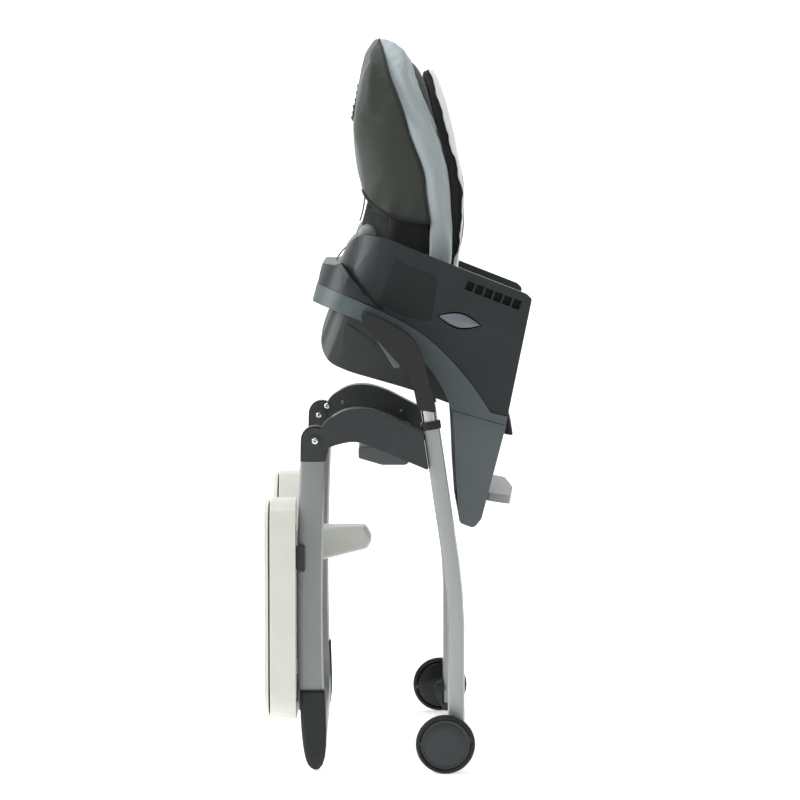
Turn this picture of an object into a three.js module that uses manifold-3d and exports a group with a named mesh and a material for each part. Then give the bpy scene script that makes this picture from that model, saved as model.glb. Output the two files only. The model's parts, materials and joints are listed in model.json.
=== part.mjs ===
// A folding high chair, shown folded: a wheeled front frame, rear legs on hinge arms, and a height-adjusting
// seat base that carries a lift-off booster seat, a reclining padded backrest, a calf support with a
// footrest, and a tray that hangs on the rear legs. Millimetres, +X forward (the way the child faces),
// +Y to the child's left, +Z up.
import * as THREE from "three";
import { mergeVertices } from "three/addons/utils/BufferGeometryUtils.js";
import Module from "manifold-3d";

const wasm = await Module();
wasm.setup();
const deg = THREE.MathUtils.degToRad;

// ---------- driving dimensions ----------
const GAP = 0.4; // between pieces that touch
const SLIP = 0.8; // between pieces that slide or turn on each other

// front legs
const LEG_Y = 250; // leg centre, from the middle of the chair
const TUBE_DEPTH = 25.5; // front to back
const TUBE_WIDTH = 22;
const TUBE_WALL = 1.8;
const LEG_TOP = { x: 62.5, z: 520 };
const LEG_LEAN = deg(8.5); // the straight upper part leans back
const LEG_STRAIGHT = 190; // length of the straight upper part
const LEG_BEND_RADIUS = 910;
const LEG_END_Z = 20;
const COLLAR_HEIGHT = 12;
const COLLAR_WALL = 2.4;

// wheels
const WHEEL_RADIUS = 45;
const WHEEL_WIDTH = 26;
const WHEEL_DOME = 8; // the inner side swells by this much towards the leg
const TYRE_THICK = 6.5;
const RIM_RADIUS = WHEEL_RADIUS - TYRE_THICK;
const AXLE_RADIUS = 4;
const AXLE_CLEAR = 0.25; // from the axle to the back of the tube

// hinge arms and rear legs
const HUB = { x: -113, z: 504 };
const ARM_WIDTH = 36;
const KNUCKLE_WIDTH = 21;
const HUB_RADIUS = 19;
const KNUCKLE_RADIUS = 22;
const PIN_RADIUS = 5;
const REAR_DEPTH = 39;
const REAR_WIDTH = 22;
const REAR_TOP_Z = 472;
const REAR_BOW = 6; // how far the middle of a rear leg bows back
const REAR_FOOT_X = -113;
const REAR_END_Z = 92;
const CAP_TOP_Z = 124;
const BOOT_WALL = 3;
const BAR = { back: -48, low: 464, top: 492 }; // crossbar between the hinge arms
const BAR_WALL = 5;
const HANDLE = { half: 110, front: -16.8 };
const REAR_BAR = { depth: 24, width: 17, x: -111, z: 28, top: REAR_END_Z - GAP, bend: 48 };

// seat placing: armrest front top corner, and the nose-down tilt of the folded seat
const SEAT = { x: 209.6, z: 721.6, tilt: deg(21) };
const TUB_HALF = 205; // outer half width over the armrests
const TUB_BACK = -285;
const TUB_CORNER = 95;
const TUB_WALL = 22;
const TUB_FLOOR = -150;
const FLOOR_THICK = 6;
const WELL_HALF = 170; // half width of the booster's lower body
const BAND_HALF = 208;
const BAND_BACK = -309;
const BAND_WALL = 16;
const PAN_HALF = 180;
const PAN_WALL = 4;
const CALF_HALF = 205;
const CALF_WALL = 6;
const FOOTREST_HALF = 150;
const FOOTREST_THICK = 13;
const FOOTREST_RISE = deg(12); // the board rises towards its front edge

// backrest, hinged at the seat's back rim
const BACK_HUB = { u: -262, w: -4, radius: 15 };
const SHELL_HALF = 138;
const COVER_HALF = 152;
const PAD_HALF = 150;
const PANEL_HALF = 124;
const INSERT_HALF = 122;
const SEAT_PAD_THICK = 26;
const STRAP_WIDTH = 25;
const STRAP_THICK = 2;
const STRAP_Y = 45; // shoulder strap, from the middle

// tray, stowed upright behind the rear legs
const TRAY_HALF = 280;
const TRAY_BACK_X = -181.5; // the face that food sits on points back when stowed
const TRAY_FRONT_X = -142.5;
const TRAY_LOW_Z = 62;
const TRAY_HIGH_Z = 411;
const TRAY_RIM = 28;
const LIP_THICK = 6;
const LIP_GAP = 2.6;
const DISH_DEPTH = 14;
const TRAY_WALL = 4;

const SIDES = [
  { name: "left", sign: 1 },
  { name: "right", sign: -1 },
];

const FAR = 400; // past the end of whatever is cut
const SMOOTH = 900; // a corner radius that runs on into its neighbours, for a flowing line

// ---------- helpers ----------
const material = (color, roughness, metalness = 0) =>
  new THREE.MeshStandardMaterial({ color, roughness, metalness });
const SLATE = material(0x33393b, 0.45);
const BAND_GREY = material(0x596164, 0.45);
const CHARCOAL = material(0x303436, 0.5);
const WARM_GREY = material(0x3b3b3b, 0.6);
const PALE_GREY = material(0x9a9e9c, 0.5);
const TUBE_GREY = material(0xa5aaa8, 0.35, 0.6);
const CHROME = material(0xd0d2d2, 0.25, 0.9);
const BLACK = material(0x161817, 0.6);
const WHITE = material(0xe0e1db, 0.4);
const MILKY = material(0xb4b5ad, 0.4);
const OLIVE = material(0x3c423d, 0.7);
const BLUE_GREY = material(0xa0aaaf, 0.8);

function solidOf(geometry) {
  const bare = geometry.index ? geometry.toNonIndexed() : geometry.clone();
  bare.deleteAttribute("normal");
  bare.deleteAttribute("uv");
  const merged = mergeVertices(bare, 1e-3);
  const corners = merged.index.array;
  const triVerts = [];
  for (let i = 0; i < corners.length; i += 3) {
    const [a, b, c] = corners.slice(i, i + 3);
    if (a !== b && b !== c && c !== a) triVerts.push(a, b, c);
  }
  return new wasm.Manifold(
    new wasm.Mesh({
      numProp: 3,
      vertProperties: merged.attributes.position.array,
      triVerts: new Uint32Array(triVerts),
    }),
  );
}

function geometryOf(solid) {
  const mesh = solid.getMesh();
  const geometry = new THREE.BufferGeometry();
  geometry.setAttribute("position", new THREE.BufferAttribute(mesh.vertProperties, 3));
  geometry.setIndex(new THREE.BufferAttribute(mesh.triVerts, 1));
  return geometry;
}

const cut = (body, ...tools) =>
  geometryOf(tools.reduce((left, tool) => left.subtract(solidOf(tool)), solidOf(body)));
const join = (body, ...others) =>
  geometryOf(others.reduce((sum, other) => sum.add(solidOf(other)), solidOf(body)));
const common = (a, b) => geometryOf(solidOf(a).intersect(solidOf(b)));

// A closed outline from [x, y, corner radius] points; a corner without a radius stays sharp.
function outline(points) {
  const shape = new THREE.Shape();
  const count = points.length;
  points.forEach((point, i) => {
    const here = new THREE.Vector2(point[0], point[1]);
    const radius = point[2] ?? 0;
    const before = new THREE.Vector2(...points[(i + count - 1) % count].slice(0, 2)).sub(here);
    const after = new THREE.Vector2(...points[(i + 1) % count].slice(0, 2)).sub(here);
    const half = before.angleTo(after) / 2;
    const most = Math.min(before.length(), after.length()) * 0.49;
    const reach = radius ? Math.min(radius / Math.tan(half), most) : 0;
    const start = before.normalize().multiplyScalar(reach).add(here);
    const end = after.normalize().multiplyScalar(reach).add(here);
    if (i === 0) shape.moveTo(start.x, start.y);
    else shape.lineTo(start.x, start.y);
    if (radius) shape.quadraticCurveTo(here.x, here.y, end.x, end.y);
  });
  shape.closePath();
  return shape;
}

// The outline of points moved outwards by a distance (inwards when negative). The points run
// anticlockwise, and each keeps its own corner radius.
function offset(points, distance) {
  const count = points.length;
  return points.map((point, i) => {
    const [px, py, radius] = point;
    const [ax, ay] = points[(i + count - 1) % count];
    const [bx, by] = points[(i + 1) % count];
    const inn = new THREE.Vector2(px - ax, py - ay).normalize();
    const out = new THREE.Vector2(bx - px, by - py).normalize();
    const n1 = new THREE.Vector2(inn.y, -inn.x);
    const n2 = new THREE.Vector2(out.y, -out.x);
    const mid = n1.clone().add(n2).normalize();
    const reach = distance / Math.max(mid.dot(n1), 0.3);
    return [px + mid.x * reach, py + mid.y * reach, radius];
  });
}

const anticlockwise = (points) =>
  THREE.ShapeUtils.area(points.map(([x, y]) => new THREE.Vector2(x, y))) < 0 ? [...points].reverse() : points;

// An outline in the x-z plane made solid from y0 to y1.
const slab = (points, y0, y1, segments = 6) =>
  new THREE.ExtrudeGeometry(outline(anticlockwise(points)), {
    depth: y1 - y0,
    bevelEnabled: false,
    curveSegments: segments,
  })
    .rotateX(Math.PI / 2)
    .translate(0, y1, 0);

// An outline in the x-y plane made solid from z0 to z1.
const plate = (points, z0, z1, segments = 4) =>
  new THREE.ExtrudeGeometry(outline(anticlockwise(points)), {
    depth: z1 - z0,
    bevelEnabled: false,
    curveSegments: segments,
  }).translate(0, 0, z0);

// An outline in the y-z plane made solid from x0 to x1.
const wallPlate = (points, x0, x1, segments = 4) =>
  plate(points, x0, x1, segments).rotateX(Math.PI / 2).rotateZ(Math.PI / 2);

const box = (x0, x1, y0, y1, z0, z1) =>
  new THREE.BoxGeometry(x1 - x0, y1 - y0, z1 - z0).translate((x0 + x1) / 2, (y0 + y1) / 2, (z0 + z1) / 2);

// A round bar along y.
const rod = (x, z, radius, y0, y1, segments = 16) =>
  new THREE.CylinderGeometry(radius, radius, y1 - y0, segments).translate(x, (y0 + y1) / 2, z);

const rectangle = (width, depth, radius) => [
  [-width / 2, -depth / 2, radius],
  [width / 2, -depth / 2, radius],
  [width / 2, depth / 2, radius],
  [-width / 2, depth / 2, radius],
];

// A section swept along a path in a plane of constant y; the section's x lies along y.
function sweep(sectionPoints, path, steps, holePoints) {
  const section = outline(sectionPoints);
  if (holePoints) section.holes.push(outline(holePoints));
  return new THREE.ExtrudeGeometry(section, { steps, extrudePath: path, curveSegments: 2 });
}

// A flat strap that follows points in the x-z plane, thick on the side the points turn round.
function strap(points, thick, y0, y1) {
  const line = points.map(([x, z]) => new THREE.Vector2(x, z));
  const outer = line.map((point, i) => {
    const a = line[Math.max(i - 1, 0)];
    const b = line[Math.min(i + 1, line.length - 1)];
    const along = b.clone().sub(a).normalize();
    return [point.x + along.y * thick, point.y - along.x * thick];
  });
  return slab([...points, ...outer.reverse()], y0, y1);
}

function add(group, name, geometry, look) {
  const mesh = new THREE.Mesh(geometryOf(solidOf(geometry)), look);
  mesh.name = name;
  group.add(mesh);
  return mesh;
}

// The same geometry, modelled on the left, placed on both sides.
function addPair(group, name, geometry, look) {
  for (const side of SIDES) add(group, `${name}_${side.name}`, geometry, look).scale.y = side.sign;
}

// ---------- front frame ----------
const lean = new THREE.Vector2(-Math.sin(LEG_LEAN), Math.cos(LEG_LEAN)); // up along the upper tube
const bendTop = { x: LEG_TOP.x - lean.x * LEG_STRAIGHT, z: LEG_TOP.z - lean.y * LEG_STRAIGHT };
const bendCentre = { x: bendTop.x - LEG_BEND_RADIUS * lean.y, z: bendTop.z + LEG_BEND_RADIUS * lean.x };
const footX = bendCentre.x + LEG_BEND_RADIUS;
const axle = { x: footX - TUBE_DEPTH / 2 - AXLE_CLEAR - AXLE_RADIUS, z: WHEEL_RADIUS };
const alongTube = (distance) =>
  new THREE.Vector3(LEG_TOP.x + lean.x * distance, LEG_Y, LEG_TOP.z + lean.y * distance);
const wheelInner = LEG_Y + TUBE_WIDTH / 2 + 3;

function legPath() {
  const points = [new THREE.Vector3(LEG_TOP.x, LEG_Y, LEG_TOP.z)];
  const turns = 6;
  for (let i = 0; i <= turns; i += 1) {
    const angle = LEG_LEAN * (1 - i / turns);
    points.push(
      new THREE.Vector3(
        bendCentre.x + LEG_BEND_RADIUS * Math.cos(angle),
        LEG_Y,
        bendCentre.z + LEG_BEND_RADIUS * Math.sin(angle),
      ),
    );
  }
  points.push(new THREE.Vector3(footX, LEG_Y, LEG_END_Z));
  const path = new THREE.CurvePath();
  points.slice(1).forEach((point, i) => path.add(new THREE.LineCurve3(points[i], point)));
  return path;
}

function frontFrame(group) {
  const bore = [TUBE_WIDTH - 2 * TUBE_WALL, TUBE_DEPTH - 2 * TUBE_WALL];
  const tube = sweep(rectangle(TUBE_WIDTH, TUBE_DEPTH, 8), legPath(), 10, rectangle(...bore, 6.5));
  addPair(group, "front_leg", tube, TUBE_GREY);

  const outer = rectangle(TUBE_WIDTH + 2 * COLLAR_WALL, TUBE_DEPTH + 2 * COLLAR_WALL, 9);
  const hole = rectangle(bore[0] - 1, bore[1] - 1, 6);
  const ring = new THREE.LineCurve3(alongTube(GAP), alongTube(COLLAR_HEIGHT + GAP));
  addPair(group, "leg_collar", sweep(outer, ring, 1, hole), BLACK);

  // the mount plugs into the tube's foot and reaches back to the axle
  const half = TUBE_WIDTH / 2 + 2;
  const tubeBack = footX - TUBE_DEPTH / 2;
  const tubeFront = footX + TUBE_DEPTH / 2;
  const shoe = slab(
    [
      [axle.x - 9, axle.z - 10, 8],
      [tubeBack + 2, LEG_END_Z - 13, 6],
      [tubeFront - 1, LEG_END_Z - 11, 8],
      [tubeFront - 1, LEG_END_Z - GAP, 1],
      [tubeBack - GAP, LEG_END_Z - GAP],
      [tubeBack - GAP, axle.z + 15, 3],
      [axle.x - 9, axle.z + 10, 8],
    ],
    LEG_Y - half,
    LEG_Y + half,
  );
  const plug = plate(
    rectangle(bore[1] - 1, bore[0] - 1, 8).map(([x, y, r]) => [x + footX, y + LEG_Y, r]),
    LEG_END_Z - 2,
    axle.z + 20,
  );
  const bolt = rod(axle.x, axle.z, AXLE_RADIUS + GAP, LEG_Y - 20, LEG_Y + 20);
  addPair(group, "wheel_mount", cut(join(shoe, plug), bolt), CHARCOAL);

  const pin = join(
    rod(axle.x, axle.z, AXLE_RADIUS, LEG_Y - half - 1, wheelInner + WHEEL_WIDTH - 8),
    rod(axle.x, axle.z, 7.5, LEG_Y - half - 3.5, LEG_Y - half - GAP),
  );
  addPair(group, "wheel_axle", pin, CHROME);
}

// ---------- wheels, lathed about the axle ----------
function wheels(group) {
  const turned = (profile, segments) =>
    new THREE.LatheGeometry(
      profile.map(([r, y]) => new THREE.Vector2(r, y)),
      segments,
    ).translate(axle.x, wheelInner, 0).translate(0, 0, axle.z);
  const w = WHEEL_WIDTH;
  const bore = AXLE_RADIUS + SLIP;
  const disc = turned(
    [
      [bore, 0.5],
      [13, 0.5],
      [RIM_RADIUS - 14.5, WHEEL_DOME * 0.25],
      [RIM_RADIUS - 5.5, WHEEL_DOME * 0.62],
      [RIM_RADIUS, WHEEL_DOME],
      [RIM_RADIUS, w - 3],
      [RIM_RADIUS - 3, w - 1],
      [RIM_RADIUS - 7, w - 1.5],
      [RIM_RADIUS - 9, w - 3],
      [12, w - 1.5],
      [0, w - 1.2],
      [0, w - 6],
      [bore, w - 6],
      [bore, 0.5],
    ],
    28,
  );
  const tyre = turned(
    [
      [RIM_RADIUS + GAP, WHEEL_DOME],
      [WHEEL_RADIUS - 3, WHEEL_DOME + 3],
      [WHEEL_RADIUS - 0.8, WHEEL_DOME + 5],
      [WHEEL_RADIUS, w / 2 + 2],
      [WHEEL_RADIUS - 0.8, w - 2.5],
      [WHEEL_RADIUS - 3, w],
      [RIM_RADIUS + GAP, w - 1.5],
      [RIM_RADIUS + GAP, WHEEL_DOME],
    ],
    28,
  );
  addPair(group, "wheel_disc", disc, CHARCOAL);
  addPair(group, "wheel_tyre", tyre, BLACK);
}

// ---------- hinge arms, hub pins, crossbar and fold handle ----------
const tubeBackX = (z) => LEG_TOP.x + ((z - LEG_TOP.z) * lean.x) / lean.y - TUBE_DEPTH / 2 / lean.y;

function hingeArms(group) {
  const top = LEG_TOP.z - 5;
  const foot = LEG_TOP.z - 61;
  const beam = slab(
    [
      [HUB.x + 4, HUB.z - 17, 6],
      [HUB.x + 34, HUB.z - 5, SMOOTH],
      [HUB.x + 62, HUB.z, SMOOTH],
      [HUB.x + 120, HUB.z - 23, SMOOTH],
      [tubeBackX(foot) - GAP, foot, 3],
      [tubeBackX(top) - GAP, top, 3],
      [HUB.x + 106, HUB.z + 41, SMOOTH],
      [HUB.x + 74, HUB.z + 50, SMOOTH],
      [HUB.x + 42, HUB.z + 47, SMOOTH],
      [HUB.x + 6, HUB.z + 22, SMOOTH],
    ],
    LEG_Y - ARM_WIDTH / 2,
    LEG_Y + ARM_WIDTH / 2,
  );
  const eye = rod(HUB.x, HUB.z, HUB_RADIUS, LEG_Y - ARM_WIDTH / 2, LEG_Y + ARM_WIDTH / 2, 24);
  const slotHalf = KNUCKLE_WIDTH / 2 + SLIP;
  const slotEnd = HUB.x + KNUCKLE_RADIUS + 3;
  const slot = box(HUB.x - 40, slotEnd, LEG_Y - slotHalf, LEG_Y + slotHalf, HUB.z - 60, HUB.z + 60);
  const bore = rod(HUB.x, HUB.z, PIN_RADIUS + GAP, LEG_Y - 40, LEG_Y + 40);
  addPair(group, "hinge_arm", cut(join(beam, eye), slot, bore), CHARCOAL);

  const face = ARM_WIDTH / 2;
  const pin = join(
    rod(HUB.x, HUB.z, PIN_RADIUS, LEG_Y - face - 2.5, LEG_Y + face + 2.5),
    rod(HUB.x, HUB.z, 8, LEG_Y - face - 2.5, LEG_Y - face - GAP),
    rod(HUB.x, HUB.z, 8, LEG_Y + face + GAP, LEG_Y + face + 2.5),
  );
  addPair(group, "hub_pin", pin, CHROME);

  const inside = LEG_Y - ARM_WIDTH / 2 - GAP;
  const bar = [
    [BAR.back, BAR.low + 10.5, 4],
    [-12, BAR.low, 20],
    [24, BAR.low, 8],
    [33, BAR.low + 8, 8],
    [34, BAR.top, 6],
    [BAR.back, BAR.top, 4],
  ];
  const hollow = slab(
    [
      [-12, BAR.low + BAR_WALL],
      [20, BAR.low + BAR_WALL],
      [29, BAR.low + BAR_WALL + 6],
      [29, BAR.top + 1],
      [-12, BAR.top + 1],
    ],
    8 - inside,
    inside - 8,
  );
  const handleHalf = HANDLE.half + SLIP;
  const handleRoom = box(BAR.back - 1, HANDLE.front + GAP, -handleHalf, handleHalf, BAR.low - 1, BAR.top + 1);
  add(group, "crossbar", cut(slab(bar, -inside, inside), hollow, handleRoom), BAND_GREY);
}

function foldHandle(group) {
  const grip = slab(
    [
      [BAR.back, BAR.low + 10, 5],
      [HANDLE.front, BAR.low + 2, 4],
      [HANDLE.front, BAR.low + 16, 3],
      [-30, BAR.top - 5, 8],
      [BAR.back, BAR.top - 5, 6],
    ],
    -HANDLE.half,
    HANDLE.half,
  );
  add(group, "fold_handle", grip, BAND_GREY);
}

// ---------- rear frame ----------
function rearLegPath() {
  const top = new THREE.Vector3(HUB.x - 3, LEG_Y, REAR_TOP_Z + 4);
  const foot = new THREE.Vector3(REAR_FOOT_X - 3, LEG_Y, 24);
  const middle = new THREE.Vector3((top.x + foot.x) / 2 - 2 * REAR_BOW, LEG_Y, (top.z + foot.z) / 2);
  return new THREE.QuadraticBezierCurve3(top, middle, foot);
}

// down one leg, round the bend, across and up the other leg
function rearBarPath() {
  const path = new THREE.CurvePath();
  const points = [new THREE.Vector3(REAR_BAR.x, LEG_Y, REAR_BAR.top)];
  const turns = 5;
  for (const side of [1, -1])
    for (let i = 0; i <= turns; i += 1) {
      const angle = ((side > 0 ? i : turns - i) / turns) * (Math.PI / 2);
      const y = side * (LEG_Y - REAR_BAR.bend * (1 - Math.cos(angle)));
      points.push(new THREE.Vector3(REAR_BAR.x, y, REAR_BAR.z + REAR_BAR.bend * (1 - Math.sin(angle))));
    }
  points.push(new THREE.Vector3(REAR_BAR.x, -LEG_Y, REAR_BAR.top));
  points.slice(1).forEach((point, i) => path.add(new THREE.LineCurve3(points[i], point)));
  return path;
}

function rearFrame(group) {
  const leg = sweep(
    rectangle(REAR_WIDTH, REAR_DEPTH, 10.5),
    rearLegPath(),
    8,
    rectangle(REAR_WIDTH - 2 * TUBE_WALL, REAR_DEPTH - 2 * TUBE_WALL, 9),
  );

  const half = KNUCKLE_WIDTH / 2;
  const neck = slab(
    [
      [HUB.x - KNUCKLE_RADIUS, HUB.z, 4],
      [HUB.x - 3 - REAR_DEPTH / 2, REAR_TOP_Z + GAP],
      [HUB.x - 3 + REAR_DEPTH / 2, REAR_TOP_Z + GAP],
      [HUB.x + KNUCKLE_RADIUS, HUB.z, 4],
    ],
    LEG_Y - half,
    LEG_Y + half,
  );
  const round = rod(HUB.x, HUB.z, KNUCKLE_RADIUS, LEG_Y - half, LEG_Y + half, 24);
  const plug = box(
    HUB.x - 3 - REAR_DEPTH / 2 + 11,
    HUB.x - 3 + REAR_DEPTH / 2 - 11,
    LEG_Y - REAR_WIDTH / 2 + TUBE_WALL + 1,
    LEG_Y + REAR_WIDTH / 2 - TUBE_WALL - 1,
    REAR_TOP_Z - 30,
    REAR_TOP_Z + 6,
  );
  const bore = rod(HUB.x, HUB.z, PIN_RADIUS + SLIP, LEG_Y - 40, LEG_Y + 40);
  addPair(group, "rear_knuckle", cut(join(neck, round, plug), bore), CHARCOAL);

  // the boot is a plate over the outside of the tube, on a solid toe
  const boot = [
    [REAR_FOOT_X - 24, CAP_TOP_Z, 1],
    [REAR_FOOT_X - 22.5, 85, 30],
    [REAR_FOOT_X - 18, 36, 30],
    [REAR_FOOT_X - 8, 0, 12],
    [REAR_FOOT_X + 8, 0, 12],
    [REAR_FOOT_X + 19, 36, 30],
    [REAR_FOOT_X + 17, CAP_TOP_Z, 1],
  ];
  const bootOuter = LEG_Y + REAR_WIDTH / 2 + BOOT_WALL + GAP;
  const shell = slab(boot, LEG_Y - 2, bootOuter);
  const toe = REAR_BAR.z - REAR_BAR.depth / 2 - GAP;
  const room = box(-FAR, FAR, LEG_Y - 3, bootOuter - BOOT_WALL, toe, FAR);
  const below = box(-FAR, FAR, 0, FAR, -FAR, REAR_END_Z);
  const above = box(-FAR, FAR, 0, FAR, REAR_TOP_Z, 2 * FAR);
  const bar = [REAR_BAR.width, REAR_BAR.depth];
  addPair(group, "rear_leg", cut(leg, below, above), TUBE_GREY);
  addPair(group, "foot_cap", cut(shell, room), CHARCOAL);
  add(group, "rear_crossbar", sweep(rectangle(...bar, 8), rearBarPath(), 28), TUBE_GREY);
}

// ---------- seat carriage: inner tubes, side brackets, height levers, band, pan and calf support ----------
// The seat's own frame has u forward and w up; the group tilts it nose down about the armrest's front
// top corner.
const seat = new THREE.Group();
seat.position.set(SEAT.x, 0, SEAT.z);
seat.rotation.y = SEAT.tilt;

const bracketInner = BAND_HALF + GAP;
const bracketOuter = LEG_Y + 12;
const INNER_TUBE = { depth: 17, width: 15, top: 52, length: 228 };
const LEVER_ANGLE = deg(5);
const LEVER_PIVOT = { x: -25, z: 667 };
const bracketSection = [
  [-44, 691, 4],
  [-40, 698, 4],
  [-16, 689, SMOOTH],
  [29, 663, SMOOTH],
  [45, 642, SMOOTH],
  [54, 612, SMOOTH],
  [70, 546, 3],
  [42, 550, 6],
  [34, 588, SMOOTH],
  [27, 607, 20],
  [15, 617, 8],
  [-38, 676, 6],
];
const leverSection = [
  [-30, 669, 3],
  [-21, 657, 10],
  [6, 613, 3],
  [13, 613, 2],
  [16, 617, 1.5],
  [-18, 662, 4],
  [-24, 671, 3],
];

function seatBrackets(group) {
  const section = rectangle(INNER_TUBE.width, INNER_TUBE.depth, 5);
  const line = new THREE.LineCurve3(alongTube(INNER_TUBE.top - INNER_TUBE.length), alongTube(INNER_TUBE.top));
  addPair(group, "inner_tube", sweep(section, line, 1), CHROME);

  const pocketLine = new THREE.LineCurve3(alongTube(0), alongTube(INNER_TUBE.top + GAP));
  const pocket = sweep(offset(section, GAP), pocketLine, 1);
  const leverRoom = [0, 0.5, 1].map((share) =>
    slab(offset(anticlockwise(leverSection), GAP), LEG_Y - 18, LEG_Y + 4)
      .translate(-LEVER_PIVOT.x, 0, -LEVER_PIVOT.z)
      .rotateY(-LEVER_ANGLE * share)
      .translate(LEVER_PIVOT.x, 0, LEVER_PIVOT.z),
  );
  const body = slab(bracketSection, bracketInner, bracketOuter);
  addPair(group, "seat_bracket", cut(body, pocket, ...leverRoom), WARM_GREY);
  const lever = slab(leverSection, LEG_Y - 18 + GAP, LEG_Y + 4 - GAP);
  addPair(group, "height_lever", lever, PALE_GREY);
}

// plan of a seat shell: straight sides and a back with round corners
const plan = (half, back, corner, front = 60) => [
  [front, -half],
  [front, half],
  [back, half, corner],
  [back, -half, corner],
];
const upright = (points) => plate(points, -FAR, FAR, 6);

// the line where the booster sits on the band, front to back
const SEAM_BACK = -101;
const seam = [
  [38, -184.5],
  [12, -188, 3],
  [-24, -162, SMOOTH],
  [-75, -133, SMOOTH],
  [-132, -111, SMOOTH],
  [-200, -103, SMOOTH],
  [-262, SEAM_BACK, 20],
];

const CALF = {
  back: [-44, -205.8],
  top: [41, -198.2],
  toe: [57.5, -345],
  end: -363,
  slotHalf: 11,
  slotTop: -212,
  slotLow: -332,
};
const calfLean = Math.atan2(CALF.toe[0] - CALF.top[0], CALF.top[1] - CALF.toe[1]);
const calfFrontAt = (w) => CALF.top[0] + (CALF.top[1] - w) * Math.tan(calfLean);

function band(group) {
  const section = [
    [CALF.top[0] - 0.3, CALF.top[1] + GAP, 1],
    ...seam,
    [BAND_BACK + 3, SEAM_BACK, 2],
    [BAND_BACK + 6, -129, 4],
    [-224, -128, SMOOTH],
    [-165, -131, SMOOTH],
    [-105, -154, SMOOTH],
    [-70, -179, SMOOTH],
    [CALF.back[0] - 1, CALF.back[1] + GAP, 4],
  ];
  const bandPlan = upright(plan(BAND_HALF, BAND_BACK - 2, TUB_CORNER + 8));
  const ring = common(slab(section, -BAND_HALF, BAND_HALF), bandPlan);
  const inside = upright(plan(BAND_HALF - BAND_WALL, BAND_BACK + BAND_WALL, TUB_CORNER - 6, 80));
  add(group, "seat_band", cut(ring, inside), BAND_GREY);
}

function pan(group) {
  const section = [
    [-274, -108],
    [-275, -158, SMOOTH],
    [-267, -188, SMOOTH],
    [-247, -207, SMOOTH],
    [-213, -209, SMOOTH],
    [-110, -200, SMOOTH],
    [26, -198, 6],
    [26, -158],
    [-60, -158],
    [-100, -146],
    [-150, -120],
  ];
  const body = common(slab(section, -PAN_HALF, PAN_HALF), upright(plan(PAN_HALF, -275, 60)));
  const boss = [
    [-246, -140, 6],
    [-192, -153, 4],
    [-191, -163, 4],
    [-234, -175, 8],
  ];
  const cavity = [
    [-275 + PAN_WALL, -60],
    [-275 + PAN_WALL, -158, SMOOTH],
    [-267 + PAN_WALL, -188 + PAN_WALL / 2, SMOOTH],
    [-247 + PAN_WALL / 2, -207 + PAN_WALL, SMOOTH],
    [-213, -209 + PAN_WALL, SMOOTH],
    [-110, -200 + PAN_WALL, SMOOTH],
    [26 - PAN_WALL, -198 + PAN_WALL, 4],
    [26 - PAN_WALL, -60],
  ];
  const inside = common(
    slab(cavity, -PAN_HALF + PAN_WALL, PAN_HALF - PAN_WALL),
    upright(plan(PAN_HALF - PAN_WALL, -275 + PAN_WALL, 56)),
  );
  const bosses = SIDES.map(({ sign }) => {
    const [y0, y1] = [sign * (PAN_HALF - 3), sign * (PAN_HALF + 1.2)].sort((a, b) => a - b);
    return slab(boss, y0, y1);
  });
  add(group, "seat_pan", cut(join(body, ...bosses), inside), WARM_GREY);
}

function calf(group) {
  const section = [
    CALF.back,
    CALF.top,
    [CALF.toe[0], CALF.toe[1], 10],
    [52, CALF.end, 10],
    [28, CALF.end, 9],
    [0, -303, SMOOTH],
    [-24, -247, SMOOTH],
  ];
  const t = CALF_WALL;
  const room = [
    [-80, -100],
    [CALF.top[0] - t, -100],
    [calfFrontAt(-200) - t, -200],
    [calfFrontAt(-345) - t, -345],
    [calfFrontAt(-345) - t - 3, CALF.end + t],
    [12, CALF.end + t],
    [-80, -260],
  ];
  const slot = box(0, 80, -CALF.slotHalf, CALF.slotHalf, CALF.slotLow, CALF.slotTop);
  const shell = cut(slab(section, -CALF_HALF, CALF_HALF), slab(room, t - CALF_HALF, CALF_HALF - t), slot);
  add(group, "calf_support", shell, BAND_GREY);
}

function footrest(group) {
  const top = -308;
  const low = top - FOOTREST_THICK;
  const back = calfFrontAt(low) + SLIP + FOOTREST_THICK * Math.sin(FOOTREST_RISE);
  const board = plate(
    [
      [0, -FOOTREST_HALF, 6],
      [36, -FOOTREST_HALF, 14],
      [44, 0, 300],
      [36, FOOTREST_HALF, 14],
      [0, FOOTREST_HALF, 6],
    ],
    0,
    FOOTREST_THICK,
  )
    .rotateY(-FOOTREST_RISE)
    .translate(back, 0, low);
  const neckHalf = CALF.slotHalf - SLIP;
  const inner = calfFrontAt(top) - CALF_WALL - SLIP;
  const neck = box(inner - 3, back + 4, -neckHalf, neckHalf, top - 11, top - 2);
  const flange = box(inner - 7, inner - 1.2, -22, 22, top - 11, top - 2);
  add(group, "footrest", join(board, neck, flange), PALE_GREY);
}

// ---------- booster seat ----------
const BUTTON = { u: -83, w: -74.5, long: 68, tall: 24, depth: 6, turn: deg(8) };

function lens(u, w, long, tall, turn) {
  const points = [];
  const steps = 10;
  for (const side of [1, -1])
    for (let i = 0; i < steps; i += 1) {
      const t = i / steps;
      const a = side * (long / 2) * (1 - 2 * t);
      const b = (side * (tall / 2)) * Math.sin(Math.PI * t);
      const along = u + a * Math.cos(turn) - b * Math.sin(turn);
      points.push([along, w + a * Math.sin(turn) + b * Math.cos(turn)]);
    }
  return points;
}

const BUTTON_GAP = 0.9;

// pockets for the tray's latch, in the outside of each armrest
const LATCH = { slots: 6, u: -93, pitch: 15.2, rib: 3, low: -27, high: -13, depth: 3.8 };

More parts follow.
